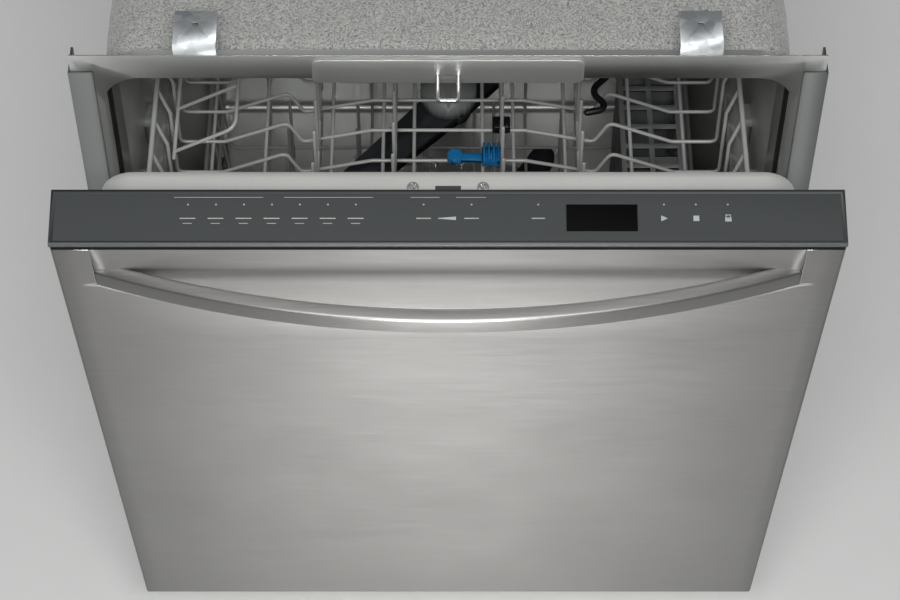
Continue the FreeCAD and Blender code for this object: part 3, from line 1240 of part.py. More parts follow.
def make_feed_duct():
    """The duct under the upper rack, with hangers to the cross wires and the mid spray arm's post."""
    rear = TUB_BACK - FEED_DEPTH - DOCK_LENGTH - 0.5
    low = FEED_TOP - DOCK_HEIGHT
    duct = rounded_block(-DUCT_HALF, DUCT_HALF, MID_HUB_Y, rear, low, FEED_TOP, 4.0, (0, 1, 0))
    hub = cylinder(HUB_RADIUS, (0, MID_HUB_Y, low), (0, 0, 1), DOCK_HEIGHT)
    post = cylinder(MID_POST, (0, MID_HUB_Y, MID_ARM_TOP - ARM_THICK - 3), (0, 0, 1), DOCK_HEIGHT)
    parts = [duct, hub, post]
    stations = cross_stations(RACK_FRONT, RACK_BACK)
    for y in (stations[6], stations[-3]):
        parts.append(box(-5, 5, y - 5, y + 5, FEED_TOP - 1, UPPER_FLOOR - WIRE_CORNER - REST_GAP))
    return fuse(parts)


def spray_arm(reach, root_half, tip_half, low, hub, bore, centre_y, angle):
    """A two-bladed arm: tapered blades with rounded tips, a raised rib and a round hub."""
    high = low + ARM_THICK
    tip = reach - tip_half
    outline = [(0, -root_half), (tip, -tip_half), (tip, tip_half), (0, root_half)]
    blade = prism([(x, y, low) for x, y in outline], (0, 0, ARM_THICK))
    blade = fuse([blade, cylinder(tip_half, (tip, 0, low), (0, 0, 1), ARM_THICK)])
    rib = box(0, tip, -2.5, 2.5, high, high + 2)
    half = fuse([blade, rib])
    other = half.copy()
    other.rotate(Vector(0, 0, 0), Vector(0, 0, 1), 180)
    boss = cylinder(hub, (0, 0, low), (0, 0, 1), ARM_THICK + 2)
    arm = fuse([half, other, boss]).cut(cylinder(bore, (0, 0, low - 1), (0, 0, 1), ARM_THICK + 9))
    arm.rotate(Vector(0, 0, 0), Vector(0, 0, 1), angle)
    arm.translate(Vector(0, centre_y, 0))
    return arm


def make_mid_spray_arm():
    low = MID_ARM_TOP - ARM_THICK
    return spray_arm(SPRAY_MID_REACH, 20.0, 11.0, low, HUB_RADIUS - 4, MID_POST + POST_CLEARANCE, MID_HUB_Y,
                     MID_ARM_ANGLE)


def make_lower_spray_arm():
    return spray_arm(SPRAY_LOWER_REACH, 24.0, 13.0, LOWER_ARM_BOTTOM - SEAT_CLEARANCE + 0.3, HUB_RADIUS,
                     POST_RADIUS + POST_CLEARANCE, SPRAY_CENTRE, LOWER_ARM_ANGLE)


def make_lower_tines():
    stations = between(cross_stations(LOWER_FRONT, LOWER_BACK))
    base = LOWER_FLOOR + 2 * WIRE_CORNER + REST_GAP
    return group([tine_row(x, base, LOWER_TINE_HEIGHT, stations) for x in LOWER_TINE_ROWS])


def make_wheel_brackets():
    """Plates clipped to the lower rack's sides, each with a wheel's pin."""
    level = WHEEL_BOTTOM + WHEEL_RADIUS
    plates = []
    x = BRACKET_X
    pin_end = x + BRACKET_SHEET + SEAT_CLEARANCE + WHEEL_WIDTH
    for y in WHEEL_STATIONS:
        plate = rounded_block(x, x + BRACKET_SHEET, y - CLIP_HALF, y + CLIP_HALF, level - 8, LOWER_FLOOR + CLIP_HEIGHT,
                              5.0, (1, 0, 0))
        pin = cylinder(WHEEL_PIN, (x, y, level), (1, 0, 0), pin_end - x)
        plate = fuse([plate, pin])
        plates.extend([plate, mirrored(plate)])
    return group(plates)


def make_wheel_pair(y):
    """A left and right wheel of the lower rack, with a dished outer face."""
    x = BRACKET_X + BRACKET_SHEET + SEAT_CLEARANCE
    level = WHEEL_BOTTOM + WHEEL_RADIUS
    disc = cylinder(WHEEL_RADIUS, (x, y, level), (1, 0, 0), WHEEL_WIDTH)
    dish = cylinder(WHEEL_RADIUS - 5, (x + WHEEL_WIDTH - 3, y, level), (1, 0, 0), 9)
    hub = cylinder(WHEEL_PIN + 4, (x, y, level), (1, 0, 0), WHEEL_WIDTH)
    bore = cylinder(WHEEL_PIN + 0.05, (x - 1, y, level), (1, 0, 0), WHEEL_WIDTH + 2)
    wheel = fuse([disc.cut(dish), hub]).cut(bore)
    return group([wheel, mirrored(wheel)])


def make_silverware_basket():
    """The slotted cutlery basket, with one divider across its middle."""
    x0 = BASKET_LEFT
    x1 = BASKET_LEFT + BASKET_WIDTH
    y1 = BASKET_BACK
    y0 = BASKET_BACK - BASKET_LENGTH
    z0 = LOWER_FLOOR + WIRE_CORNER + REST_GAP
    w = BASKET_WALL
    shell = rounded_block(x0, x1, y0, y1, z0, BASKET_TOP, 8.0, (0, 0, 1))
    hollow = rounded_block(x0 + w, x1 - w, y0 + w, y1 - w, z0 + w, BASKET_TOP + 1, 8.0 - w, (0, 0, 1))
    middle = (y0 + y1) / 2
    divider = box(x0, x1, middle - w / 2, middle + w / 2, z0, BASKET_TOP)
    basket = fuse([shell.cut(hollow), divider.common(shell)])
    columns = 10
    rows = 3
    pitch = BASKET_LENGTH / columns
    tall = (BASKET_TOP - z0) / rows
    slots = []
    for column in range(columns):
        y = y0 + pitch * (column + 0.5)
        for row in range(rows):
            z = z0 + tall * row + 10
            slots.append(box(x0 - 1, x1 + 1, y - pitch * 0.3, y + pitch * 0.3, z, z + tall - 16))
    ends = box(x0 + w, x1 - w, y0 + w, y1 - w, z0, BASKET_TOP)
    basket = basket.cut(group(slots).cut(ends))
    bore = cylinder(LID_PIN + 0.05, (LID_AXIS_X, y0, LID_AXIS_Z), (0, 1, 0), BASKET_LENGTH)
    edge = LID_AXIS_X + LID_PIN_OUT
    lugs = []
    for y in lug_stations():
        foot = box(x1 - w / 2, edge, y, y + LUG_WIDTH, BASKET_TOP - 10, BASKET_TOP)
        ear = box(x1 + SEAT_CLEARANCE, edge, y, y + LUG_WIDTH, BASKET_TOP - 10, LID_AXIS_Z + LID_PIN_OUT)
        lugs.append(fuse([foot, ear]).cut(bore))
    return fuse([basket] + lugs)


def lug_stations():
    """Where the lid's two hinge lugs begin along the cutlery basket."""
    return (BASKET_BACK - BASKET_LENGTH + LUG_INSET, BASKET_BACK - LUG_INSET - LUG_WIDTH)


def make_basket_lid():
    """The slotted lid of the cutlery basket, in two columns of openings."""
    x0 = BASKET_LEFT
    x1 = BASKET_LEFT + BASKET_WIDTH
    y1 = BASKET_BACK
    y0 = BASKET_BACK - BASKET_LENGTH
    z = BASKET_TOP + REST_GAP
    lid = rounded_block(x0, x1, y0, y1, z, z + BASKET_LID_THICK, 8.0, (0, 0, 1))
    count = 9
    pitch = (BASKET_LENGTH - 12) / count
    slots = []
    for column in range(2):
        x = x0 + 5 + column * (BASKET_WIDTH - 5) / 2
        for step in range(count):
            y = y0 + 8 + pitch * step
            slots.append(box(x, x + (BASKET_WIDTH - 15) / 2, y, y + pitch - 5, z - 1, z + 4))
    for y in lug_stations():
        slots.append(box(x1 - LUG_NOTCH, x1 + 1, y - 1, y + LUG_WIDTH + 1, z - 1, z + 4))
    first, last = lug_stations()
    pin = cylinder(LID_PIN, (LID_AXIS_X, first, LID_AXIS_Z), (0, 1, 0), last + LUG_WIDTH - first)
    strip = box(x1 - 2, LID_AXIS_X, first + LUG_WIDTH + 1, last - 1, LID_AXIS_Z - 1, LID_AXIS_Z + 1)
    return fuse([lid.cut(group(slots)), strip, pin])


def build_racks():
    add("upper_basket", make_upper_basket(), UPPER_NODES)
    add("upper_tines", make_upper_tines(), UPPER_NODES)
    add("fold_tines", make_fold_tines(), UPPER_NODES)
    add("fold_grip", make_fold_grip(), UPPER_NODES)
    add("tine_clips", make_tine_clips(), UPPER_NODES)
    add("stem_holder", make_stem_holder(), UPPER_NODES)
    add("cup_shelf", make_cup_shelf(), UPPER_NODES)
    add("upper_rails", make_upper_rails(), UPPER_NODES)
    add("rail_stops", make_rail_stops(), UPPER_NODES)
    add("feed_duct", make_feed_duct(), UPPER_NODES)
    add("mid_spray_arm", make_mid_spray_arm(), UPPER_NODES)
    add("lower_basket", make_lower_basket(), LOWER_NODES)
    add("lower_tines", make_lower_tines(), LOWER_NODES)
    add("wheel_brackets", make_wheel_brackets(), LOWER_NODES)
    for name, y in zip(("front", "middle", "back"), WHEEL_STATIONS):
        add("lower_wheels_%s" % name, make_wheel_pair(y), LOWER_NODES)
    add("silverware_basket", make_silverware_basket(), LOWER_NODES)
    add("basket_lid", make_basket_lid(), LOWER_NODES)
    add("lower_spray_arm", make_lower_spray_arm())


def front_reach():
    """Where the handle's rounded top edge comes furthest forward in the ajar pose."""
    out = PANEL_STANDOFF + HANDLE_PROTRUSION - HANDLE_ROUND
    up = HANDLE_TOP - HANDLE_ROUND
    return PIVOT_Y - out * math.cos(AJAR) - up * math.sin(AJAR) - HANDLE_ROUND


def place_and_write():
    """Bring the door and racks to the ajar pose, centre the part over its origin and write each node."""
    for name in DOOR_NODES:
        PARTS[name].rotate(Vector(0, PIVOT_Y, PIVOT_Z), Vector(1, 0, 0), AJAR_ANGLE)
    for name in UPPER_NODES:
        PARTS[name].translate(Vector(0, -UPPER_REST, 0))
    for name in LOWER_NODES:
        PARTS[name].translate(Vector(0, -LOWER_REST, 0))
    shift = -(front_reach() + FRAME_BACK) / 2
    os.makedirs("parts", exist_ok=True)
    for name, shape in PARTS.items():
        shape.translate(Vector(0, shift, 0))
        shape.exportStep("parts/%s.step" % name)
        print(name, len(shape.Solids), shape.isValid(), round(shape.Volume))
    print("nodes", len(PARTS), "shift", shift)


build_cabinet()
build_door()
build_racks()
place_and_write()
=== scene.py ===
# %% [markdown]
# # A built-in dishwasher, dressed for its picture
# The imported model gives every rigid piece in its true place, and this file gives the pieces their surfaces.
# The frame is in metres, with x across the machine, y from the door to the back and z up from the floor. Its
# box is kept now, and the floor is later laid just under it.

# %% Load the frame
import json
import math

import bmesh
import bpy
from mathutils import Matrix, Vector, noise


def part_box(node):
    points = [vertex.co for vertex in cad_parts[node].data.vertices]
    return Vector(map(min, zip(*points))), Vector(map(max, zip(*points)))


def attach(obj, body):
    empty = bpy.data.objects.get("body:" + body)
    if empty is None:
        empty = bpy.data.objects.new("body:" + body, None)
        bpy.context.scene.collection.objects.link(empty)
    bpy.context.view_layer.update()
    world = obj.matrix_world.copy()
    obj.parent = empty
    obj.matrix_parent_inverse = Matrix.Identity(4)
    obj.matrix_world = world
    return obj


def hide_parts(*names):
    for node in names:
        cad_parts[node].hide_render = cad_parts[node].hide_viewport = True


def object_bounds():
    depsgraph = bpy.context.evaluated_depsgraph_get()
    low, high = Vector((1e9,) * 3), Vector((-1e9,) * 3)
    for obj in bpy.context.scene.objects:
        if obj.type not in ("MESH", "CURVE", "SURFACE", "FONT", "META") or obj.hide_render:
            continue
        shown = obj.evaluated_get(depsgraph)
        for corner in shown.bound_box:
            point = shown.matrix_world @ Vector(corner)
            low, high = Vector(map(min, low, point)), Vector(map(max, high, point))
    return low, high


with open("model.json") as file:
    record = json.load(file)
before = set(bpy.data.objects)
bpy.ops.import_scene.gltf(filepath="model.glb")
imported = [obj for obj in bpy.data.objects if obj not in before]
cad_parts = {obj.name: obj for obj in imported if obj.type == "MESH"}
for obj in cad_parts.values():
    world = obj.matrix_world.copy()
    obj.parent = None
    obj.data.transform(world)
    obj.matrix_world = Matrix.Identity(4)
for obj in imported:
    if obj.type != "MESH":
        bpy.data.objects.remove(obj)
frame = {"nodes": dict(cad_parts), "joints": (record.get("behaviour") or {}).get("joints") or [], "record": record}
cad_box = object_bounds()
MM = 0.001

# %% [markdown]
# The door stands a little ajar. Its pieces are easiest to place on a shut door, in millimetres from the tub's
# front flange, so one small function swings such a point to where the door rests. The hinge's own numbers
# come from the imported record, so the pieces follow the door if it is ever packed at another angle.

# %% Where things are on the ajar door
hinge = next(j for j in frame["joints"] if j["name"] == "door_hinge")
pivot = Vector(hinge["pos_m"])
ajar = math.radians(-hinge["range_deg"][0])
PIVOT_Y = -20.0
PIVOT_Z = 120.0
flange_y = pivot.y - PIVOT_Y * MM


def at_machine(x, y, z):
    """A point given in millimetres from the floor and the tub's front flange."""
    return Vector((x * MM, flange_y + y * MM, z * MM))


def at_door(x, y, z):
    """The same point on the shut door, swung to the ajar door."""
    arm = Vector((x * MM, (y - PIVOT_Y) * MM, (z - PIVOT_Z) * MM))
    return Vector((0.0, pivot.y, pivot.z)) + Matrix.Rotation(ajar, 3, "X") @ arm


print("door ajar by", round(math.degrees(ajar), 2), "degrees")

# %% [markdown]
# Colours are written as they look on a screen. Blender's shaders want linear light, so one function turns a
# hex value into it. A second function adds a node to a material, sets it and wires its inputs, and a third
# starts a material with the one shader that nearly all of these surfaces use.

# %% Colour and node helpers
def linear(code):
    """A screen colour such as #8a8c8b as linear red, green, blue and alpha."""
    channels = [int(code[i:i + 2], 16) / 255 for i in (1, 3, 5)]
    return [c / 12.92 if c <= 0.04045 else ((c + 0.055) / 1.055) ** 2.4 for c in channels] + [1.0]


def add_node(tree, kind, inputs=None, **settings):
    """One node with its settings; an input takes a value, or a socket to be wired to it."""
    made = tree.nodes.new(kind)
    for key, value in settings.items():
        setattr(made, key, value)
    for key, value in (inputs or {}).items():
        if isinstance(value, bpy.types.NodeSocket):
            tree.links.new(value, made.inputs[key])
        else:
            made.inputs[key].default_value = value
    return made


def new_finish(name, inputs):
    """A material whose surface is one Principled shader, with its tree and that shader."""
    material = bpy.data.materials.new(name)
    material.use_nodes = True
    tree = material.node_tree
    tree.nodes.clear()
    shader = add_node(tree, "ShaderNodeBsdfPrincipled", inputs)
    add_node(tree, "ShaderNodeOutputMaterial", {"Surface": shader.outputs["BSDF"]})
    return material, tree, shader


def per_mm(size):
    """The texture scale that repeats about once in this many millimetres."""
    return 1.0 / (size * MM)


print("a mid grey in linear light:", [round(c, 3) for c in linear("#808080")])

# %% [markdown]
# No real edge is perfectly sharp. Folded sheet and moulded plastic have a small round at every edge, which
# catches a thin line of light. The imported meshes are sharp, so the shader rounds them: Blender's Bevel node
# bends the normal near an edge, and how far it bends it is a measure of how near the edge is. The finishes
# also use that measure to paint their edges paler, partly as wear and partly as a painted highlight.

# %% Soft edges
def soft_edge(tree, radius):
    """The normal rounded over this many millimetres at edges, and a mask that is 0 on faces, more at edges."""
    rounded = add_node(tree, "ShaderNodeBevel", {"Radius": radius * MM}, samples=4)
    flat = add_node(tree, "ShaderNodeNewGeometry")
    agree = add_node(tree, "ShaderNodeVectorMath", {0: rounded.outputs["Normal"], 1: flat.outputs["Normal"]},
                     operation="DOT_PRODUCT")
    mask = add_node(tree, "ShaderNodeMath", {0: 1.0, 1: agree.outputs["Value"]}, operation="SUBTRACT",
                    use_clamp=True)
    return rounded.outputs["Normal"], mask.outputs["Value"]


print("edges are rounded by the shader")

# %% [markdown]
# The door and the handle are stainless steel, brushed across. Brushing leaves thousands of fine grooves along
# x. They smear a reflection up and down but keep it narrow sideways, so the panel glows in a soft upright
# band. The shader's anisotropy does that: it stretches a highlight along the tangent, so the tangent is given
# as the door's own upright direction, turned from object space to world space so that it swings with the
# door. A noise drawn out along x makes the grooves themselves.

# %% Brushed stainless steel
finish = {}
GRAIN_LENGTH = 26.0
GRAIN_WIDTH = 0.42
GRAIN_COARSER = 2
GROOVE = 0.02
CLOUD = 140.0


def brushed_steel(name, colour, dark, roughness, anisotropy):
    """Steel with grooves along x, drawn about twice as coarse as real ones so that they show in the render."""
    material, tree, shader = new_finish(name, {"Metallic": 1.0, "Anisotropic": anisotropy})
    place = add_node(tree, "ShaderNodeTexCoord")
    normal, edge = soft_edge(tree, 0.9)
    drawn = add_node(tree, "ShaderNodeMapping", {"Vector": place.outputs["Object"],
                                                 "Scale": (GRAIN_WIDTH / GRAIN_LENGTH, 1, 1)})
    grain = add_node(tree, "ShaderNodeTexNoise", {"Vector": drawn.outputs["Vector"], "Detail": 4.0,
                                                  "Scale": per_mm(GRAIN_WIDTH * GRAIN_COARSER),
                                                  "Roughness": 0.6})
    cloud = add_node(tree, "ShaderNodeTexNoise", {"Vector": place.outputs["Object"], "Scale": per_mm(CLOUD),
                                                  "Detail": 2.0})
    tone = add_node(tree, "ShaderNodeMix", {"Factor": grain.outputs["Fac"], "A": linear(dark),
                                            "B": linear(colour)}, data_type="RGBA")
    # The edges are painted paler here: partly rubbed wear, partly a painted highlight where the rounded edge
    # catches light.
    edge_wear_and_highlight = add_node(tree, "ShaderNodeMix", {"Factor": edge, "A": tone.outputs["Result"], "B": linear("#e6e6e3")},
                    data_type="RGBA")
    uneven = add_node(tree, "ShaderNodeMath", {0: cloud.outputs["Fac"], 1: 0.06, 2: roughness - 0.03},
                      operation="MULTIPLY_ADD")
    rough = add_node(tree, "ShaderNodeMath", {0: grain.outputs["Fac"], 1: 0.10, 2: uneven.outputs["Value"]},
                     operation="MULTIPLY_ADD")
    groove = add_node(tree, "ShaderNodeBump", {"Height": grain.outputs["Fac"], "Strength": 0.05,
                                               "Distance": GROOVE * MM, "Normal": normal})
    upright = add_node(tree, "ShaderNodeCombineXYZ", {"Z": 1.0})
    tangent = add_node(tree, "ShaderNodeVectorTransform", {"Vector": upright.outputs["Vector"]},
                       vector_type="VECTOR", convert_from="OBJECT", convert_to="WORLD")
    tree.links.new(edge_wear_and_highlight.outputs["Result"], shader.inputs["Base Color"])
    tree.links.new(rough.outputs["Value"], shader.inputs["Roughness"])
    tree.links.new(groove.outputs["Normal"], shader.inputs["Normal"])
    tree.links.new(tangent.outputs["Vector"], shader.inputs["Tangent"])
    return material


finish["brushed_steel"] = brushed_steel("stainless_brushed_across", "#8c8b89", "#747372", 0.30, 0.86)
print("brushed steel with grooves", GRAIN_WIDTH, "mm wide")

# %% [markdown]
# The tub and the upper rack's rails are stainless sheet straight from the rolling mill, with only faint long
# streaks. The liner is the same sheet with a satin finish that scatters nearly all the light, so it stays
# evenly pale. Small bright pieces such as the strike wire and the screws are polished or nickel plated, so
# they show the room in narrow highlights.

# %% Rolled and bright steel
STREAK_WIDTH = 3.0
STREAK_LENGTH = 50.0
SHEET_CLOUD = 90.0


def rolled_steel(name, colour, roughness, streak, metal=1.0):
    """Mill-rolled sheet: faint streaks in its gloss, a little unevenness in its tone."""
    material, tree, shader = new_finish(name, {"Metallic": metal})
    place = add_node(tree, "ShaderNodeTexCoord")
    normal = soft_edge(tree, 0.6)[0]
    drawn = add_node(tree, "ShaderNodeMapping", {"Vector": place.outputs["Object"],
                                                 "Scale": (1, 1, STREAK_WIDTH / STREAK_LENGTH)})
    streaks = add_node(tree, "ShaderNodeTexNoise", {"Vector": drawn.outputs["Vector"], "Detail": 3.0,
                                                    "Scale": per_mm(STREAK_WIDTH)})
    cloud = add_node(tree, "ShaderNodeTexNoise", {"Vector": place.outputs["Object"],
                                                  "Scale": per_mm(SHEET_CLOUD)})
    value = add_node(tree, "ShaderNodeMath", {0: cloud.outputs["Fac"], 1: 0.12, 2: 0.94},
                     operation="MULTIPLY_ADD")
    tone = add_node(tree, "ShaderNodeHueSaturation", {"Color": linear(colour), "Value": value.outputs["Value"]})
    rough = add_node(tree, "ShaderNodeMath", {0: streaks.outputs["Fac"], 1: streak, 2: roughness - streak / 2},
                     operation="MULTIPLY_ADD")
    tree.links.new(tone.outputs["Color"], shader.inputs["Base Color"])
    tree.links.new(rough.outputs["Value"], shader.inputs["Roughness"])
    tree.links.new(normal, shader.inputs["Normal"])
    return material


finish["tub_steel"] = rolled_steel("stainless_rolled", "#cfd0cd", 0.34, 0.16, metal=0.7)
finish["liner_steel"] = rolled_steel("stainless_satin_pressed", "#d8d8d5", 0.85, 0.10)
finish["bright_steel"] = rolled_steel("steel_bright_plated", "#d6d6d3", 0.18, 0.06)
print("rolled steels:", [finish[s].name for s in ("tub_steel", "liner_steel", "bright_steel")])

# %% [markdown]
# The base frame and brackets are zinc-coated sheet. Hot zinc freezes in crystals the size of a fingernail,
# each with its own grey, so a cell pattern gives the frame its patchwork. The side trims and the kick plate
# are powder coated: the baked powder leaves a fine orange-peel skin that softens every highlight.

# %% Zinc and powder coat
SPANGLE = 9.0
PEEL = 1.6
MOTTLE = 60.0
material, tree, shader = new_finish("steel_hot_dip_zinc", {"Metallic": 0.85})
place = add_node(tree, "ShaderNodeTexCoord")
crystal = add_node(tree, "ShaderNodeTexVoronoi", {"Vector": place.outputs["Object"], "Scale": per_mm(SPANGLE)})
shade = add_node(tree, "ShaderNodeSeparateColor", {"Color": crystal.outputs["Color"]})
tone = add_node(tree, "ShaderNodeMix", {"Factor": shade.outputs["Red"], "A": linear("#9da1a3"),
                                        "B": linear("#bcc0c1")}, data_type="RGBA")
rough = add_node(tree, "ShaderNodeMath", {0: shade.outputs["Green"], 1: 0.18, 2: 0.36}, operation="MULTIPLY_ADD")
tree.links.new(tone.outputs["Result"], shader.inputs["Base Color"])
tree.links.new(rough.outputs["Value"], shader.inputs["Roughness"])
finish["galvanised"] = material


def moulded(name, colour, roughness, grit, depth, wear=0.10, edge=0.8, coat=0.0, shine=0.5):
    """A moulded or coated skin: one colour, a little uneven, with edges painted paler as wear and highlight, over a
    fine grit.
    """
    material, tree, shader = new_finish(name, {"Coat Weight": coat, "Coat Roughness": 0.2,
                                               "Specular IOR Level": shine})
    place = add_node(tree, "ShaderNodeTexCoord")
    normal, rim = soft_edge(tree, edge)
    skin = add_node(tree, "ShaderNodeTexNoise", {"Vector": place.outputs["Object"], "Scale": per_mm(grit),
                                                 "Detail": 3.0, "Roughness": 0.55})
    cloud = add_node(tree, "ShaderNodeTexNoise", {"Vector": place.outputs["Object"], "Scale": per_mm(MOTTLE)})
    even = add_node(tree, "ShaderNodeMath", {0: cloud.outputs["Fac"], 1: wear, 2: 1 - wear / 2},
                    operation="MULTIPLY_ADD")
    # The rim mask paints the edges paler: partly wear, partly a painted highlight.
    value = add_node(tree, "ShaderNodeMath", {0: rim, 1: 0.6, 2: even.outputs["Value"]},
                     operation="MULTIPLY_ADD")
    tone = add_node(tree, "ShaderNodeHueSaturation", {"Color": linear(colour), "Value": value.outputs["Value"]})
    rough = add_node(tree, "ShaderNodeMath", {0: skin.outputs["Fac"], 1: 0.14, 2: roughness - 0.07},
                     operation="MULTIPLY_ADD")
    pit = add_node(tree, "ShaderNodeBump", {"Height": skin.outputs["Fac"], "Strength": 0.25,
                                            "Distance": depth * MM, "Normal": normal})
    tree.links.new(tone.outputs["Color"], shader.inputs["Base Color"])
    tree.links.new(rough.outputs["Value"], shader.inputs["Roughness"])
    tree.links.new(pit.outputs["Normal"], shader.inputs["Normal"])
    return material


finish["trim_grey"] = moulded("steel_powder_coat_grey", "#8d908e", 0.42, PEEL, 0.03)
finish["kick_paint"] = moulded("steel_powder_coat_pale", "#d9d9d6", 0.45, PEEL, 0.03)
print("zinc crystals", SPANGLE, "mm, powder skin", PEEL, "mm")

# %% [markdown]
# Inside a dishwasher nearly everything that is not steel is polypropylene, moulded with a fine satin texture.
# The rack wires are steel dipped in nylon, which flows into a smooth, slightly waxy skin. The door seal and
# the pads under the feet are rubber, and the console is a dark moulding with a printed satin film on its top
# and a glossy window in it.

# %% Plastics, nylon and rubber
finish["wire_nylon"] = moulded("steel_wire_nylon_dipped", "#c3c4c1", 0.30, 2.4, 0.01, edge=0.1, coat=0.3)
finish["grey_plastic"] = moulded("polypropylene_grey_moulded", "#8f9291", 0.42, 0.8, 0.02)
finish["dark_plastic"] = moulded("polypropylene_charcoal_moulded", "#34363a", 0.40, 0.8, 0.02)
finish["black_plastic"] = moulded("polypropylene_black_moulded", "#17181a", 0.42, 0.8, 0.02)
finish["blue_plastic"] = moulded("polypropylene_blue_moulded", "#2380bd", 0.38, 0.8, 0.02)
finish["white_plastic"] = moulded("acetal_white_moulded", "#dcdcd7", 0.34, 0.8, 0.01)
finish["filter_grey"] = moulded("polypropylene_slate_moulded", "#5a5d5f", 0.40, 0.8, 0.02)
finish["seal_rubber"] = moulded("epdm_rubber_extruded", "#1b1b1b", 0.62, 0.6, 0.03)
finish["console_plastic"] = moulded("abs_charcoal_moulded", "#383b3b", 0.42, 0.7, 0.012)
finish["overlay_film"] = moulded("polyester_film_satin_printed", "#333636", 0.60, 0.5, 0.006, wear=0.04,
                                 edge=0.3)
finish["display_glass"] = moulded("acrylic_black_polished", "#020202", 0.34, 4.0, 0.002, edge=0.3, shine=0.08)
finish["board_green"] = moulded("fibreglass_board_solder_mask", "#1d5a34", 0.40, 1.2, 0.02)
finish["mark_print"] = moulded("screen_ink_pale", "#a4a8a8", 0.55, 0.6, 0.004, wear=0.04, edge=0.05)
print("moulded finishes:", len(finish))

# %% [markdown]
# The tub wears a blanket of needled cotton fibre that keeps its noise in. Felt scatters light among loose
# fibres, so it has no highlight, only a soft sheen at grazing angles, and its tone is mottled with darker
# recycled threads.

# %% Needled fibre felt
THREAD = 1.8
WANDER = 22.0
TUFT = 14.0
FUZZ = 1.2
material, tree, shader = new_finish("cotton_felt_needled", {"Roughness": 0.95, "Sheen Weight": 0.35,
                                                            "Sheen Roughness": 0.5})
place = add_node(tree, "ShaderNodeTexCoord")
warp = add_node(tree, "ShaderNodeTexNoise", {"Vector": place.outputs["Object"], "Scale": per_mm(WANDER),
                                             "Detail": 2.0})
bent = add_node(tree, "ShaderNodeMix", {"Factor": 0.02, "A": place.outputs["Object"],
                                        "B": warp.outputs["Color"]}, data_type="RGBA")
thread = add_node(tree, "ShaderNodeTexNoise", {"Vector": bent.outputs["Result"], "Scale": per_mm(THREAD),
                                               "Detail": 6.0, "Roughness": 0.75})
tuft = add_node(tree, "ShaderNodeTexNoise", {"Vector": place.outputs["Object"], "Scale": per_mm(TUFT),
                                             "Detail": 3.0})
mottle = add_node(tree, "ShaderNodeValToRGB", {"Fac": thread.outputs["Fac"]})
mottle.color_ramp.elements[0].position = 0.36
mottle.color_ramp.elements[0].color = linear("#5f6164")
mottle.color_ramp.elements[1].position = 0.58
mottle.color_ramp.elements[1].color = linear("#b4b3ae")
height = add_node(tree, "ShaderNodeMath", {0: thread.outputs["Fac"], 1: 0.5, 2: tuft.outputs["Fac"]},
                  operation="MULTIPLY_ADD")
fuzz = add_node(tree, "ShaderNodeBump", {"Height": height.outputs["Value"], "Strength": 0.7,
                                         "Distance": FUZZ * MM})
tree.links.new(mottle.outputs["Color"], shader.inputs["Base Color"])
tree.links.new(fuzz.outputs["Normal"], shader.inputs["Normal"])
finish["blanket_fibre"] = material
print("felt threads", THREAD, "mm")

# %% [markdown]
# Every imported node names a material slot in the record. Each now gets the finish made for its slot. The
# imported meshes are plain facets, so curved faces are shaded smooth, with a crease kept wherever two faces
# meet at a sharp angle. A weighted normal keeps the large flat faces flat beside their small rounds.

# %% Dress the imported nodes
CREASE = 32.0
WELD = 0.002


def smooth_faces(obj, crease):
    """Shades a mesh smooth, with creases where faces meet at more than this angle."""
    weld = obj.modifiers.new("weld", "WELD")
    weld.merge_threshold = WELD * MM
    obj.data.shade_smooth()
    obj.data.set_sharp_from_angle(angle=math.radians(crease))
    flat = obj.modifiers.new("flat_faces_stay_flat", "WEIGHTED_NORMAL")
    flat.keep_sharp = True


slot_of = {part["node"]: part["material_slot"] for part in frame["record"]["subparts"]}
for name, obj in frame["nodes"].items():
    obj.data.materials.clear()
    obj.data.materials.append(finish[slot_of[name]])
    smooth_faces(obj, CREASE)
print("dressed", len(frame["nodes"]), "nodes in", len(set(slot_of.values())), "finishes")

# %% [markdown]
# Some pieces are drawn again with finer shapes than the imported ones. Each is built as a mesh in memory, so
# one function turns such a mesh into an object in the scene, and a second lets that object stand for a packed
# node: it rides on the node's body, takes the node's slot and replaces it.

# %% From mesh to piece
def link_mesh(name, mesh, material, crease=None):
    """A finished mesh as an object in one material; with a crease angle it is shaded smooth up to that angle."""
    data = bpy.data.meshes.new(name)
    mesh.to_mesh(data)
    mesh.free()
    if crease is not None:
        data.shade_smooth()
        data.set_sharp_from_angle(angle=math.radians(crease))
    piece = bpy.data.objects.new(name, data)
    bpy.context.scene.collection.objects.link(piece)
    data.materials.append(material)
    return piece


def new_piece(name, mesh, node, body, crease):
    """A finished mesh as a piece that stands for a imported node."""
    bmesh.ops.recalc_face_normals(mesh, faces=mesh.faces)
    piece = link_mesh(name, mesh, finish[slot_of[node]], crease)
    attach(piece, body)
    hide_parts(node)
    return piece


print("pieces are drawn in metres and ride on their bodies")

# %% [markdown]
# The felt blanket is a soft mat bent over the tub's two sides and top. A box would look like foam board, so
# the mat is a grid of points run along its bent section: up one side, round the corner, over the top and down
# the other side. Its outer face is pushed in and out by a slow noise, and its edges are pinched, as a cut
# felt edge is.

# %% Felt blanket
low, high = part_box("insulation_blanket")
MAT = 11.0 * MM
CORNER = 34.5 * MM
STEP = 9.0 * MM
OUTER_SHARE = 0.06
INNER_SHARE = 0.98
INNER_PINCH = 0.6
BEND_STEPS = 6
PINCH = (0.30, 0.10, 0.03)
LUMP = 46 * MM
LUMP_SHARE = 0.10
SMOOTH_ALL = 180


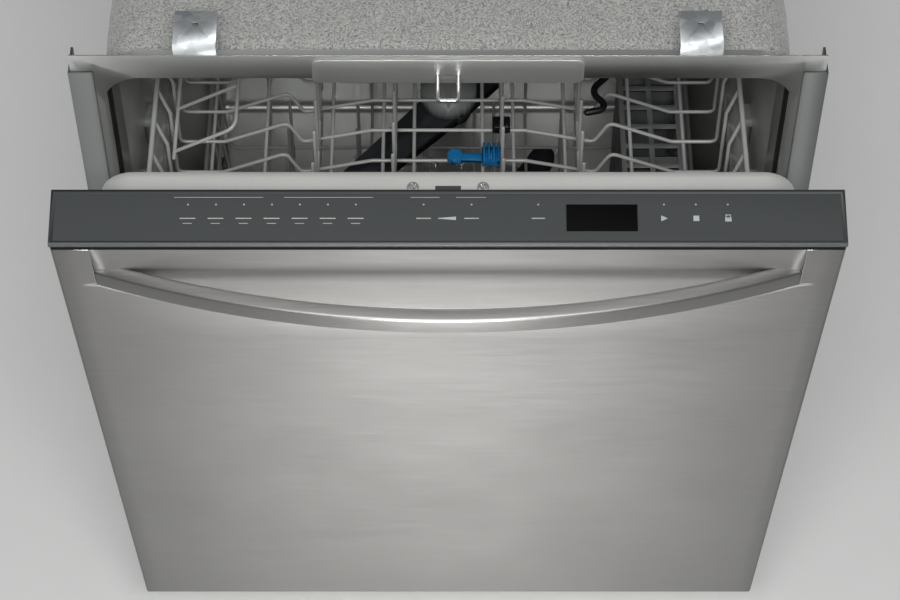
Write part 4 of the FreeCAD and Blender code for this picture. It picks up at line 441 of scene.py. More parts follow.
def mat_section(inset):
    """Points along the bent section at this depth under the outer face, from the left foot to the right foot."""
    left = low.x + inset
    right = high.x - inset
    top = high.z - inset
    bend = CORNER - inset
    turns = [math.pi / 2 * k / BEND_STEPS for k in range(BEND_STEPS)]
    points = []
    rise = round((top - bend - low.z) / STEP)
    for k in range(rise):
        points.append(Vector((left, 0, low.z + (top - bend - low.z) * k / rise)))
    for turn in turns:
        points.append(Vector((left + bend - bend * math.cos(turn), 0, top - bend + bend * math.sin(turn))))
    over = round((right - left - 2 * bend) / STEP)
    for k in range(over):
        points.append(Vector((left + bend + (right - left - 2 * bend) * k / over, 0, top)))
    for turn in turns:
        points.append(Vector((right - bend + bend * math.sin(turn), 0, top - bend + bend * math.cos(turn))))
    for k in range(rise + 1):
        points.append(Vector((right, 0, top - bend - (top - bend - low.z) * k / rise)))
    return points


rows = [mat_section(0.0), mat_section(MAT)]
depth = high.y - low.y
lines = round(depth / STEP)
last = len(rows[0]) - 1
mesh = bmesh.new()
grid = {}
for face in (0, 1):
    for i, (outer, inner) in enumerate(zip(*rows)):
        for j in range(lines + 1):
            edge = min(i, last - i, j, lines - j)
            pinch = PINCH[edge] if edge < len(PINCH) else 0.0
            here = Vector((outer.x, low.y + depth * j / lines, outer.z))
            lump = noise.fractal(here / LUMP, 0.9, 2.0, 3) * LUMP_SHARE
            share = OUTER_SHARE + pinch + abs(lump) if face == 0 else INNER_SHARE - pinch * INNER_PINCH
            at = outer.lerp(inner, share)
            grid[face, i, j] = mesh.verts.new((at.x, here.y, at.z))
for i in range(last):
    for j in range(lines):
        mesh.faces.new([grid[0, i, j], grid[0, i, j + 1], grid[0, i + 1, j + 1], grid[0, i + 1, j]])
        mesh.faces.new([grid[1, i, j], grid[1, i + 1, j], grid[1, i + 1, j + 1], grid[1, i, j + 1]])
for i in range(last):
    for j in (0, lines):
        mesh.faces.new([grid[0, i, j], grid[0, i + 1, j], grid[1, i + 1, j], grid[1, i, j]])
for j in range(lines):
    for i in (0, last):
        mesh.faces.new([grid[0, i, j], grid[1, i, j], grid[1, i, j + 1], grid[0, i, j + 1]])
blanket = new_piece("felt_blanket", mesh, "insulation_blanket", "cabinet", SMOOTH_ALL)
print("felt blanket:", len(blanket.data.vertices), "points,", round(MAT / MM), "mm thick")

# %% [markdown]
# The door's outer skin is one steel sheet, folded at its sides and foot and pressed in behind the handle, so
# that fingers find room. The pressing is deepest behind the bar. From there it comes gently forward to the
# console's seam, and below the bar it runs out into the flat door along a curve that follows the bar. A grid
# of points makes it: the rows climb the door, the columns follow the folded section across it, and each point
# is pushed in by the depth of the pressing at its place. The sheet then gets its thickness from a modifier.

# %% The pressing in the door
DOOR_FOOT = 118.0
DOOR_TOP = 833.0
SEAM = 4.0
PRESS_HALF = 273.5
PRESS_DEPTH = 12.0
PRESS_FOOT = 692.0
PRESS_DEEP = 709.0
PRESS_BOW = 76.0
PRESS_SHALLOWER = 0.65
PRESS_LEFT_AT_TOP = 0.15
PRESS_END = 9.0
LOW_ROWS = [DOOR_FOOT, DOOR_FOOT + 4, 200, 320, 440, 560, 640, 680]
PRESS_ROWS = 10
RISE_ROWS = 20


def bow_rise(x):
    """How much higher the pressing's foot lies here than in the middle of the door."""
    return PRESS_BOW * min(1.0, (x / PRESS_HALF) ** 2)


def press_depth(x, z):
    """How far the sheet is pressed in at a place on the door."""
    reach = PRESS_HALF - abs(x)
    foot = PRESS_FOOT + bow_rise(x)
    deep = PRESS_DEEP + bow_rise(x)
    if reach <= 0 or z <= foot:
        return 0.0
    if z < deep:
        share = (z - foot) / (deep - foot)
        share = share * share * (3 - 2 * share)
    else:
        share = 1 - (1 - PRESS_LEFT_AT_TOP) * (z - deep) / (DOOR_TOP - deep)
    end = min(1.0, reach / PRESS_END)
    shallow = 1 - PRESS_SHALLOWER * bow_rise(x) / PRESS_BOW
    return PRESS_DEPTH * shallow * share * math.sqrt(1 - (1 - end) ** 2)


def row_height(row, x):
    """The height of a row at a column: level rows below, rows that follow the pressing's curve above."""
    if row < len(LOW_ROWS):
        return LOW_ROWS[row]
    foot = PRESS_FOOT + bow_rise(x)
    deep = PRESS_DEEP + bow_rise(x)
    row -= len(LOW_ROWS)
    if row < PRESS_ROWS:
        return foot + (deep - foot) * row / PRESS_ROWS
    return deep + (DOOR_TOP - SEAM - deep) * (row - PRESS_ROWS) / RISE_ROWS


print("pressed in by", PRESS_DEPTH, "mm between", PRESS_FOOT, "and", DOOR_TOP, "mm")

# %% [markdown]
# The columns stand close together at the pressing's two ends, where the sheet turns in sharply, and wider
# towards the middle. They are listed by how far they lie inside the pressing's end, for one half of the door,
# and mirrored.

# %% Door skin
DOOR_HALF = 303.0
FACE = -55.0
FOLD_END = -10.0
FOOT_RETURN = -34.0
FOLD_ROUND = 3.0
FOLD_STEPS = 5
SHEET = 1.2
DOOR_CREASE = 40
turns = [math.pi / 2 * k / FOLD_STEPS for k in range(FOLD_STEPS + 1)]
corner = [(DOOR_HALF - FOLD_ROUND * (1 - math.cos(t)), FACE + FOLD_ROUND * (1 - math.sin(t))) for t in turns]
inside_end = [-13.0, -0.01, 0.2] + [1.5 * k for k in range(1, 7)]
inside_end += [10 + 5 * k for k in range(1, 24)] + [125 + 12 * k for k in range(1, 12)]
right = [(DOOR_HALF, FOLD_END)] + corner + [(PRESS_HALF - d, FACE) for d in inside_end]
columns = [(-x, y) for x, y in right] + [(0.0, FACE)] + right[::-1]
mesh = bmesh.new()
grid = []
for row in range(len(LOW_ROWS) + PRESS_ROWS + RISE_ROWS + 1):
    places = [(x, y, row_height(row, x)) for x, y in columns]
    grid.append([mesh.verts.new(at_door(x, y + press_depth(x, z), z)) for x, y, z in places])
for low, high in zip(grid, grid[1:]):
    for k in range(len(columns) - 1):
        mesh.faces.new([low[k], low[k + 1], high[k + 1], high[k]])
turned = [(k, x) for k, (x, y) in enumerate(columns) if y < FOOT_RETURN]
fold = [(k, mesh.verts.new(at_door(x, FOOT_RETURN, DOOR_FOOT))) for k, x in turned]
for (k, one), (n, two) in zip(fold, fold[1:]):
    mesh.faces.new([one, two, grid[0][n], grid[0][k]])
skin = new_piece("door_sheet", mesh, "door_skin", "door", DOOR_CREASE)
sheet = skin.modifiers.new("sheet_thickness", "SOLIDIFY")
sheet.thickness = SHEET * MM
sheet.offset = -1.0
sheet.use_even_offset = True
print("door skin:", len(skin.data.vertices), "points,", SHEET, "mm thick")

# %% [markdown]
# Between the sheet and the console the gap shows as a thin dark line of shade. A plain black bar, nearly as
# wide as the door, is set into the gap that the sheet leaves under the console to paint that shadow. It is
# matt and nearly black.

# %% Painted shadow in the seam
SEAM_PROUD = 0.3
SEAM_DEEP = 4.0
SEAM_INSET = 1.5
ends = [-DOOR_HALF + SEAM_INSET, DOOR_HALF - SEAM_INSET]
depths = [FACE - SEAM_PROUD, FACE + SEAM_DEEP]
levels = [DOOR_TOP - SEAM, DOOR_TOP]
corners = [at_door(x, y, z) for x in ends for y in depths for z in levels]
strip = bmesh.new()
bmesh.ops.convex_hull(strip, input=[strip.verts.new(c) for c in corners])
bmesh.ops.recalc_face_normals(strip, faces=strip.faces)
# Painted shadow: a matt, nearly black bar stands for the shade in the gap under the console.
seam_shadow_paint = moulded("black_paint_for_seam_shadow", "#101010", 0.9, 1.2, 0.02, wear=0.0, edge=0.0, shine=0.1)
seam = link_mesh("painted_seam_shadow", strip, seam_shadow_paint)
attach(seam, "door")
print("foam seam", SEAM, "mm high")

# %% [markdown]
# The handle is a flat bar with small rounds on its long edges, bowed outwards in one arc. Its two ends run
# into the pressed skin. The bar is a rounded rectangle carried round that arc, because the narrow rounds give
# it the two thin bright lines that tell brushed bar from round tube.

# %% Handle bar
BAR_HALF = 273.0
BAR_BOW = 42.0
BAR_TOP = 791.0
BAR_HEIGHT = 20.5
BAR_THICK = 11.5
BAR_ROUND = 2.0
ROUND_STEPS = 4
BAR_STEPS = 96
BAR_CREASE = 30
bar_radius = (BAR_HALF ** 2 + BAR_BOW ** 2) / (2 * BAR_BOW)
bar_reach = math.asin(BAR_HALF / bar_radius)
section = []
for quarter in range(4):
    inward = BAR_THICK - BAR_ROUND if quarter in (0, 3) else BAR_ROUND
    level = BAR_HEIGHT - BAR_ROUND if quarter in (0, 1) else BAR_ROUND
    for k in range(ROUND_STEPS + 1):
        turn = math.pi / 2 * (quarter + k / ROUND_STEPS)
        section.append((inward + BAR_ROUND * math.cos(turn), level + BAR_ROUND * math.sin(turn)))
mesh = bmesh.new()
rings = []
for step in range(BAR_STEPS + 1):
    turn = bar_reach * (2 * step / BAR_STEPS - 1)
    ring = []
    for inward, level in section:
        out = bar_radius - inward
        y = FACE - BAR_BOW + bar_radius - out * math.cos(turn)
        ring.append(mesh.verts.new(at_door(out * math.sin(turn), y, BAR_TOP - BAR_HEIGHT + level)))
    rings.append(ring)
for one, two in zip(rings, rings[1:]):
    for k in range(len(section)):
        n = (k + 1) % len(section)
        mesh.faces.new([one[k], one[n], two[n], two[k]])
mesh.faces.new(rings[0])
mesh.faces.new(rings[-1])
new_piece("handle_bar", mesh, "handle", "door", BAR_CREASE)
print("handle bar bowed to a radius of", round(bar_radius), "mm")

# %% [markdown]
# The racks are the finest work in the machine: steel wire, bent cold, spot welded where it crosses and dipped
# in nylon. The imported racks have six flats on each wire, which is enough for their strength and their fit.
# Here the same routes are drawn again with a round section, so that each wire carries one thin, even
# highlight. A route is a list of corners. Each corner is turned into an arc, as a bending pin does it, and a
# ring of points is carried along the route.

# %% Round wire
WIRE = 1.7
RIM_WIRE = 2.3
CROSSING = 2 * WIRE - 0.1
RING = 12
ARC_STEP = math.radians(13)
STRAIGHT = 0.02
RUN_SHARE = 0.45
DOME = (0.4, 0.95, 1.57)
WIRE_CREASE = 50
pull_out = {c["joint"]: c["ratio"] / MM * ajar for c in frame["record"]["behaviour"]["couplings"]}


def bend_route(corners, radius):
    """The corners of a route with each one turned into an arc of this radius, or less where a run is short."""
    corners = [Vector(c) for c in corners]
    route = [corners[0]]
    for before, corner, after in zip(corners, corners[1:], corners[2:]):
        back = (before - corner).normalized()
        ahead = (after - corner).normalized()
        turn = math.pi - back.angle(ahead)
        if turn < STRAIGHT:
            continue
        room = RUN_SHARE * min((before - corner).length, (after - corner).length)
        setback = min(radius * math.tan(turn / 2), room)
        bend = setback / math.tan(turn / 2)
        centre = corner + (back + ahead).normalized() * bend / math.cos(turn / 2)
        start = (corner + back * setback - centre).normalized()
        end = (corner + ahead * setback - centre).normalized()
        steps = max(2, round(turn / ARC_STEP))
        for k in range(steps + 1):
            route.append(centre + start.slerp(end, k / steps) * bend)
    route.append(corners[-1])
    return route


def draw_wire(mesh, corners, radius, bend):
    """A round wire along a route in metres, with its ends domed by the nylon dip."""
    route = bend_route(corners, bend)
    runs = [(b - a).normalized() for a, b in zip(route, route[1:])]
    first, last = runs[0], runs[-1]
    sections = [(route[0] + first * radius * (1 - math.cos(t)), first, math.sin(t)) for t in DOME]
    for point, before, after in zip(route[1:-1], runs, runs[1:]):
        sections.append((point, (before + after).normalized(), 1.0))
    sections += [(route[-1] - last * radius * (1 - math.cos(t)), last, math.sin(t)) for t in reversed(DOME)]
    across = first.orthogonal().normalized()
    turns = [2 * math.pi * k / RING for k in range(RING)]
    rings = []
    for centre, run, share in sections:
        across = (across - run * across.dot(run)).normalized()
        other = run.cross(across)
        rings.append([mesh.verts.new(centre + (across * math.cos(t) + other * math.sin(t)) * radius * share)
                      for t in turns])
    for one, two in zip(rings, rings[1:]):
        for k in range(RING):
            n = (k + 1) % RING
            mesh.faces.new([one[k], one[n], two[n], two[k]])
    mesh.faces.new(rings[0][::-1])
    mesh.faces.new(rings[-1])


def wire_piece(name, node, body, wires):
    """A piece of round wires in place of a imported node; each wire is its route, its radius and its bend in mm."""
    mesh = bmesh.new()
    for corners, radius, bend in wires:
        draw_wire(mesh, [at_machine(*c) for c in corners], radius * MM, bend * MM)
    piece = new_piece(name, mesh, node, body, WIRE_CREASE)
    print(name, "has", len(wires), "wires and", len(piece.data.vertices), "points")


# %% [markdown]
# The upper rack's floor is pressed into waves: flat in the middle, down to a trough, steeply up to a ridge
# that a glass leans on, and down again to the wall. Every cross wire has that section. The lengthwise wires
# lie under the cross wires and turn up at both ends, and one thicker wire runs round the rim. All of it is
# written for a rack pushed home and then moved out to where the ajar door lets it rest.

# %% Upper rack
OUT = pull_out["upper_rack_slide"]
FRONT = 30.0 - OUT
BACK = 516.0 - OUT
FLOOR = 575.0
RIM = 672.0
RIM_HALF = 254.0
WAVE = [(0.0, 0.0), (69.0, 0.0), (133.0, -16.0), (146.0, 10.0), (204.0, -16.0), (245.0, -16.0)]
PITCH = 36.0
CROSS_WIRES = 12
FIRST_CROSS = 22.0
UPPER_LONG = (31, 59, 106, 165, 215)
WAVE_BEND = 6.0
END_BEND = 9.0
RIM_BEND = 18.0


def floor_level(x):
    """The height of the waved floor at a distance from the middle."""
    x = abs(x)
    for (x0, z0), (x1, z1) in zip(WAVE, WAVE[1:]):
        if x <= x1:
            return FLOOR + z0 + (z1 - z0) * (x - x0) / (x1 - x0)
    return FLOOR + WAVE[-1][1]


def cross_wires(half_section, stations, bend):
    """Wires across a rack: half a section from the right rim to the middle, mirrored, at each station."""
    section = half_section + [(-x, z) for x, z in reversed(half_section)]
    return [([(x, y, z) for x, z in section], WIRE, bend) for y in stations]


def long_wire(x, front, back, low, rim):
    """A lengthwise wire under a rack's floor, turned up to the rim at both ends."""
    return ([(x, front, rim), (x, front, low), (x, back, low), (x, back, rim)], WIRE, END_BEND)


def rim_wire(half, front, back, level):
    """A thicker wire round a rack, whose two ends meet at the middle of its back."""
    route = [(-1, back, level), (half, back, level), (half, front, level), (-half, front, level),
             (-half, back, level), (1, back, level)]
    return (route, RIM_WIRE, RIM_BEND)


upper_cross = [FRONT + FIRST_CROSS + PITCH * k for k in range(CROSS_WIRES)]
wall = [(RIM_HALF, RIM), (245.0, RIM - 32)]
wires = cross_wires(wall + [(x, FLOOR + z) for x, z in reversed(WAVE[1:])], upper_cross, WAVE_BEND)
for x in [side * v for v in UPPER_LONG for side in (-1, 1)]:
    wires.append(long_wire(x, FRONT, BACK, floor_level(x) - CROSSING, RIM))
wires.append(rim_wire(RIM_HALF, FRONT, BACK, RIM))
wire_piece("upper_basket_wire", "upper_basket", "upper_rack", wires)

# %% [markdown]
# Rows of tines stand on the floor, each on a wire of its own, halfway between the cross wires. One row folds
# down, so it rides on its own body, and so does the cup shelf on the left wall, which rests tilted up by 30
# degrees.

# %% Upper tines
UPPER_ROWS = (-118.0, -48.0, 118.0)
FOLD_ROW = 48.0
UPPER_TINE = 70
FOLD_TINE = 62
FOLD_LIFT = 5.15
FOOT_HALF = 2.4
ROW_END = 8
NO_BEND = 1.0


def tine_row(x, base, height, stations):
    """One row of tines and the wire they stand on."""
    row = [([(x, stations[0] - ROW_END, base), (x, stations[-1] + ROW_END, base)], WIRE, NO_BEND)]
    return row + [([(x, y, base), (x, y, base + height)], WIRE, NO_BEND) for y in stations]


upper_between = [y + PITCH / 2 for y in upper_cross[:-1]]
wires = []
for x in UPPER_ROWS:
    base = max(floor_level(x - FOOT_HALF), floor_level(x + FOOT_HALF)) + CROSSING
    wires += tine_row(x, base, UPPER_TINE, upper_between)
wire_piece("upper_tine_wire", "upper_tines", "upper_rack", wires)
fold_wires = tine_row(FOLD_ROW, FLOOR + FOLD_LIFT, FOLD_TINE, upper_between)
wire_piece("fold_tine_wire", "fold_tines", "fold_row", fold_wires)

# %% [markdown]
# The cup shelf is a frame of one bent wire with bars across it, hung on a hinge wire. Its points are given by
# how far they lie from that wire, and the tilt does the rest.

# %% Cup shelf
HINGE_X = -239.75
HINGE_Z = 630.0
REACH = 64.0
SHELF_FRONT = 124.0 - OUT
SHELF_BACK = 420.0 - OUT
SHELF_PIN = 9
SHELF_BEND = 10.0
SHELF_BARS = 5
SHELF_TILT = math.radians(30)


def on_shelf(reach, y):
    """A point of the tilted shelf, this far from its hinge wire."""
    return (HINGE_X + reach * math.cos(SHELF_TILT), y, HINGE_Z + reach * math.sin(SHELF_TILT))


wires = [([on_shelf(0, SHELF_FRONT - SHELF_PIN), on_shelf(0, SHELF_BACK + SHELF_PIN)], WIRE, NO_BEND)]
wires.append(([on_shelf(0, SHELF_FRONT), on_shelf(REACH, SHELF_FRONT), on_shelf(REACH, SHELF_BACK),
               on_shelf(0, SHELF_BACK)], WIRE, SHELF_BEND))
for k in range(1, SHELF_BARS + 1):
    y = SHELF_FRONT + (SHELF_BACK - SHELF_FRONT) * k / (SHELF_BARS + 1)
    wires.append(([on_shelf(0, y), on_shelf(REACH, y)], WIRE, NO_BEND))
wire_piece("cup_shelf_wire", "cup_shelf", "cup_shelf", wires)

# %% [markdown]
# The stem holder is a soft strip bent in waves between two tines. It is drawn with the same function, thicker
# and black.

# %% Stem holder
NEAR = 120.7
STRIP = 3.1
STRIP_BEND = 12.0
STRIP_LEVEL = FLOOR + 44
near_y = upper_between[3]
far_y = upper_between[5]
mid_y = (near_y + far_y) / 2
wave = [(NEAR, near_y), (NEAR + 24, near_y + 6), (NEAR + 6, mid_y - 10), (NEAR + 26, mid_y + 12),
        (NEAR + 14, far_y), (NEAR, far_y)]
strip_route = [(x, y, STRIP_LEVEL) for x, y in wave]
wire_piece("stem_holder_strip", "stem_holder", "upper_rack", [(strip_route, STRIP, STRIP_BEND)])

# %% [markdown]
# The lower rack is a plain basket with leaning walls and two rims. Plates stand between its five rows of tall
# tines.

# %% Lower rack
LOW_OUT = pull_out["lower_rack_slide"]
LOW_FRONT = 42.0 - LOW_OUT
LOW_BACK = 512.0 - LOW_OUT
LOW_FLOOR = 207.0
LOW_RIM = 330.0
LOW_HALF = 248.0
MIDDLE_HALF = 242.0
FLOOR_HALF_WIDTH = 236.0
LOWER_LONG = (28, 84, 140, 196)
LOWER_ROWS = (-168.0, -96.0, -24.0, 48.0, 120.0)
LOWER_TINE = 92
lower_cross = [LOW_FRONT + FIRST_CROSS + PITCH * k for k in range(CROSS_WIRES)]
wires = cross_wires([(LOW_HALF, LOW_RIM), (FLOOR_HALF_WIDTH, LOW_FLOOR)], lower_cross, END_BEND)
for x in [side * v for v in LOWER_LONG for side in (-1, 1)]:
    wires.append(long_wire(x, LOW_FRONT, LOW_BACK, LOW_FLOOR - CROSSING, LOW_RIM))
wires.append(rim_wire(LOW_HALF, LOW_FRONT, LOW_BACK, LOW_RIM))
wires.append(rim_wire(MIDDLE_HALF, LOW_FRONT, LOW_BACK, (LOW_FLOOR + LOW_RIM) / 2))
wire_piece("lower_basket_wire", "lower_basket", "lower_rack", wires)
lower_between = [y + PITCH / 2 for y in lower_cross[:-1]]
wires = []
for x in LOWER_ROWS:
    wires += tine_row(x, LOW_FLOOR + CROSSING, LOWER_TINE, lower_between)
wire_piece("lower_tine_wire", "lower_tines", "lower_rack", wires)

# %% [markdown]
# The heater is a tube of nickel steel bent into an open ring over the tub's floor, with two legs that go down
# through it. Seventy-two short runs make the ring read as round.

# %% Heater tube
LOOP = 205.0
LOOP_RUNS = 72
LOOP_LEVEL = 173.0
LEG = 14.0
LEG_FOOT = 143.0
LEG_BEND = 7.0
MIDDLE = 255.0
TUBE = 3.35
start = math.pi / 2 + math.asin(LEG / LOOP)
sweep = 2 * math.pi - 2 * math.asin(LEG / LOOP)
turns = [start + sweep * k / LOOP_RUNS for k in range(1, LOOP_RUNS)]
ring = [(LOOP * math.cos(t), MIDDLE + LOOP * math.sin(t), LOOP_LEVEL) for t in turns]
legs = [[(side * LEG, MIDDLE + LOOP, z) for z in (LEG_FOOT, LOOP_LEVEL)] for side in (-1, 1)]
wire_piece("heater_tube", "heater", "cabinet", [(legs[0] + ring + legs[1][::-1], TUBE, LEG_BEND)])

# %% [markdown]
# Two small screws with crossed slots hold the latch to the liner's top, and two more hold the handle from
# inside. A head is a disc of rings and spokes: its rim is rounded, and points that fall in the cross are
# pushed down to cut it.

# %% Screws
HEAD = 4.8
HEAD_RISE = 2.2
HEAD_ROUND = 1.2
HEAD_CROWN = 0.25
SLOT_HALF = 0.62
SLOT_SLOPE = 0.18
SLOT_REACH = 2.7
SLOT_RUN_OUT = 0.7
SLOT_DEPTH = 1.3
SHANK = 2.0
SHANK_TIP = 0.6
LATCH_SEAT = (27.25, 8.0, 814.0)
LATCH_SHANK = 9.5
LATCH_SKEW = math.radians(24)
HANDLE_SEAT = (251.0, -49.63, 780.75)
HANDLE_SHANK = 5.0
RINGS = 22
SPOKES = 64
SCREW_CREASE = 38


def screw_point(seat, up, side, x, y, rise):
    """A point of a screw: across its axis by x and y, and this far above its seat."""
    return seat + (side * x + up.cross(side) * y + up * rise) * MM


def head_rise(x, y):
    """The height of a screw head, with its rounded rim and its cross."""
    r = math.hypot(x, y)
    dome = HEAD_RISE - HEAD_CROWN * (r / HEAD) ** 2
    if r > HEAD - HEAD_ROUND:
        dome -= HEAD_ROUND - math.sqrt(max(0.0, HEAD_ROUND ** 2 - (r - HEAD + HEAD_ROUND) ** 2))
    arm = min(abs(x), abs(y))
    tip = max(abs(x), abs(y))
    across = max(0.0, min(1.0, (SLOT_HALF - arm) / SLOT_SLOPE))
    along = max(0.0, min(1.0, (SLOT_REACH - tip) / SLOT_RUN_OUT))
    return max(0.1, dome - SLOT_DEPTH * across * along)


def add_screw(mesh, seat, up, side, shank):
    """One screw: a head over its seat and a plain shank of this length below it."""
    spokes = [(math.cos(2 * math.pi * k / SPOKES), math.sin(2 * math.pi * k / SPOKES)) for k in range(SPOKES)]
    crown = mesh.verts.new(screw_point(seat, up, side, 0, 0, head_rise(0, 0)))
    rings = []
    for i in range(1, RINGS + 1):
        r = HEAD * i / RINGS
        rings.append([mesh.verts.new(screw_point(seat, up, side, r * c, r * s, head_rise(r * c, r * s)))
                      for c, s in spokes])
    for r, rise in ((HEAD, 0.02), (SHANK, 0.02), (SHANK, -shank), (SHANK_TIP, -shank - 1.0)):
        rings.append([mesh.verts.new(screw_point(seat, up, side, r * c, r * s, rise)) for c, s in spokes])
    for k in range(SPOKES):
        n = (k + 1) % SPOKES
        mesh.faces.new([crown, rings[0][k], rings[0][n]])
        for one, two in zip(rings, rings[1:]):
            mesh.faces.new([one[k], two[k], two[n], one[n]])
    mesh.faces.new(rings[-1][::-1])


mesh = bmesh.new()
door_up = (at_door(0, 0, 1) - at_door(0, 0, 0)).normalized()
door_in = (at_door(0, 1, 0) - at_door(0, 0, 0)).normalized()
across = Vector((1, 0, 0))
x, y, z = LATCH_SEAT
for hand in (-1, 1):
    side = Matrix.Rotation(-hand * LATCH_SKEW, 3, door_up) @ across
    add_screw(mesh, at_door(hand * x, y, z), door_up, side, LATCH_SHANK)
x, y, z = HANDLE_SEAT
for hand in (-1, 1):
    add_screw(mesh, at_door(hand * x, y, z), door_in, across, HANDLE_SHANK)
screws = new_piece("crossed_screws", mesh, "door_screws", "door", SCREW_CREASE)
print("four screws of", len(screws.data.vertices), "points")

# %% [markdown]
# The console's film carries small printed marks: a row of indicator dots, thin lines that group the keys, and
# plain signs for the keys. Printing is a film of ink, so each mark is a very thin plate on the film. They are
# drawn flat on the shut door's console, whose top rises gently to the back, and swung to the ajar door with
# the rest.

# %% Plates of ink
CONSOLE_FRONT = -56.0
CONSOLE_BACK = -10.0
CONSOLE_LOW = 838.0
CONSOLE_HIGH = 842.0
INK = 0.12
INK_FOOT = 0.02
DOT_SIDES = 16


def on_console(x, y, lift):
    """A point over the console's top, as high above the film as the lift."""
    slope = (CONSOLE_HIGH - CONSOLE_LOW) / (CONSOLE_BACK - CONSOLE_FRONT)
    return at_door(x, y, CONSOLE_LOW + (y - CONSOLE_FRONT) * slope + lift)


def ink_plate(mesh, outline):
    """A plate of ink with this outline, a list of x and y in millimetres, as seen from above."""
    base = [mesh.verts.new(on_console(x, y, INK_FOOT)) for x, y in outline]
    top = [mesh.verts.new(on_console(x, y, INK)) for x, y in outline]
    mesh.faces.new(base[::-1])
    mesh.faces.new(top)
    for k in range(len(outline)):
        n = (k + 1) % len(outline)
        mesh.faces.new([base[k], base[n], top[n], top[k]])


def dot(x, y, radius):
    """The outline of a round mark."""
    turns = [2 * math.pi * k / DOT_SIDES for k in range(DOT_SIDES)]
    return [(x + radius * math.cos(t), y + radius * math.sin(t)) for t in turns]


def dash(x, y, width, depth):
    """The outline of a rectangular mark about its middle."""
    return [(x - width / 2, y - depth / 2), (x + width / 2, y - depth / 2), (x + width / 2, y + depth / 2),
            (x - width / 2, y + depth / 2)]


print("ink", INK, "mm thick")

# %% [markdown]
# The marks stand in three rows: lines at the back, then dots, then the keys. Seven cycle keys are short bars,
# two option keys have a wedge between them, and the last three keys have a start, a stop and a lock sign.

# %% Printed marks on the console
DOT_ROW = -22.5
KEY_ROW = -34.0
LINE_ROW = -16.5
cycle_keys = [-198 + 21.3 * k for k in range(7)]
option_keys = [-18.6, 17.9]
side_keys = [68.7, 164.4, 188.7, 213.0]
bar_key, start_key, stop_key, lock_key = side_keys
marks = bmesh.new()
for x in cycle_keys + option_keys + side_keys:
    ink_plate(marks, dot(x, DOT_ROW, 0.7))
for x, width in ((-175, 68), (-91, 68), (-17.5, 22), (17.5, 23)):
    ink_plate(marks, dash(x, LINE_ROW, width, 0.35))
for x in cycle_keys:
    ink_plate(marks, dash(x, KEY_ROW, 12.0, 0.8))
    ink_plate(marks, dash(x, KEY_ROW - 4.2, 7.0, 0.5))
for x in option_keys:
    ink_plate(marks, dash(x, KEY_ROW, 11.0, 0.8))
ink_plate(marks, [(-7.5, KEY_ROW - 0.3), (6.0, KEY_ROW - 1.4), (6.0, KEY_ROW + 1.4), (-7.5, KEY_ROW + 0.3)])
ink_plate(marks, dash(bar_key, KEY_ROW, 10.0, 0.8))
ink_plate(marks, [(start_key - 2.4, KEY_ROW - 2.4), (start_key + 2.6, KEY_ROW), (start_key - 2.4, KEY_ROW + 2.4)])
ink_plate(marks, dash(stop_key, KEY_ROW, 4.4, 4.4))
ink_plate(marks, dash(lock_key, KEY_ROW - 1.0, 4.8, 3.2))
for offset in (-1.7, 1.7):
    ink_plate(marks, dash(lock_key + offset, KEY_ROW + 1.6, 0.6, 2.0))
ink_plate(marks, dash(lock_key, KEY_ROW + 2.8, 4.0, 0.6))
bmesh.ops.recalc_face_normals(marks, faces=marks.faces)
console_marks = link_mesh("console_marks", marks, finish["mark_print"])
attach(console_marks, "door")
print("console marks:", len(console_marks.data.polygons), "faces of ink")

# %% [markdown]
# The picture is taken from above and in front, looking down at about 53 degrees with a long lens, so that
# upright lines draw together only gently. The camera is placed by the numbers that a fit to the door's
# corners gave.

# %% Camera
LENS = 103.2
SENSOR = 36.0
LOOK_DOWN = 53.10
EYE = (1.5, -1375, 2359)
camera_data = bpy.data.cameras.new("photo_camera")
camera_data.lens = LENS
camera_data.sensor_width = SENSOR
camera = bpy.data.objects.new("photo_camera", camera_data)
bpy.context.scene.collection.objects.link(camera)
camera.location = at_machine(*EYE)
camera.rotation_euler = (math.radians(90 - LOOK_DOWN), 0, 0)
bpy.context.scene.camera = camera
print("camera at", [round(c, 3) for c in camera.location])

# %% [markdown]
# The floor is one pale, matt sheet under the feet. It catches the machine's shadow and is what the steel
# mirrors.

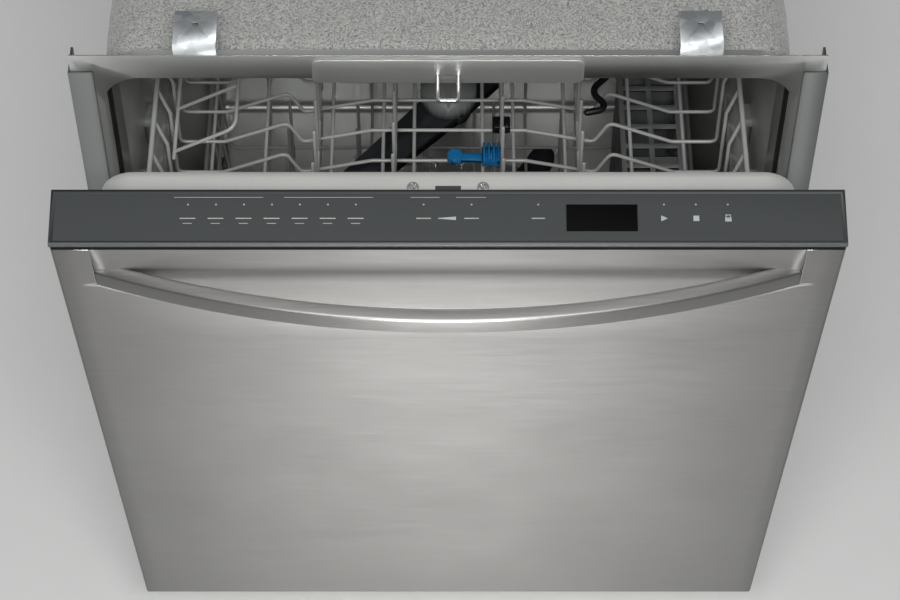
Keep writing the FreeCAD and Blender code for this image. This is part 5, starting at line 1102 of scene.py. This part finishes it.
# %% Floor
FLOOR_HALF = 6.0
FLOOR_GAP = 0.0005
floor_mesh = bmesh.new()
corners = [(-FLOOR_HALF, -FLOOR_HALF), (FLOOR_HALF, -FLOOR_HALF), (FLOOR_HALF, FLOOR_HALF),
           (-FLOOR_HALF, FLOOR_HALF)]
floor_mesh.faces.new([floor_mesh.verts.new((x, y, cad_box[0][2] - FLOOR_GAP)) for x, y in corners])
vinyl = moulded("vinyl_sheet_pale_matt", "#ebebe9", 0.6, 3.0, 0.01, wear=0.03)
floor = link_mesh("studio_floor", floor_mesh, vinyl)
print("floor", 2 * FLOOR_HALF, "m across")

# %% [markdown]
# The light is a plain studio: an even pale room, a wide soft lamp overhead, and a stronger one near the
# camera that reaches the rack through the gap and lights the liner. Brushed steel draws a light out across
# its grain, so a low lamp before the door gives the panel its bright middle and leaves its sides darker.

# %% Light
ROOM_STRENGTH = 0.34
scene = bpy.context.scene
scene.view_settings.view_transform = "Standard"
room = bpy.data.worlds.new("studio_room")
scene.world = room
room.use_nodes = True
background = room.node_tree.nodes["Background"]
background.inputs["Color"].default_value = linear("#e4e6e8")
background.inputs["Strength"].default_value = ROOM_STRENGTH


def soft_lamp(name, at, aim, width, depth, watts, spread=180):
    """A rectangular soft lamp that faces a point; a grid over it can narrow its spread."""
    data = bpy.data.lights.new(name, "AREA")
    data.shape = "RECTANGLE"
    data.size = width
    data.size_y = depth
    data.energy = watts
    data.spread = math.radians(spread)
    lamp = bpy.data.objects.new(name, data)
    scene.collection.objects.link(lamp)
    lamp.location = at
    lamp.rotation_euler = (Vector(aim) - Vector(at)).to_track_quat("-Z", "Y").to_euler()


soft_lamp("overhead_softbox", (0.0, -0.4, 3.0), (0.0, 0.0, 0.6), 2.4, 1.2, 8)
soft_lamp("camera_side_softbox", (0.0, -1.7, 2.7), (0.0, -0.2, 0.7), 1.1, 0.7, 40)
soft_lamp("low_front_softbox", (0.0, -1.9, 0.45), (0.0, -0.3, 0.50), 0.40, 0.8, 4.4, spread=60)
print("view transform:", scene.view_settings.view_transform)
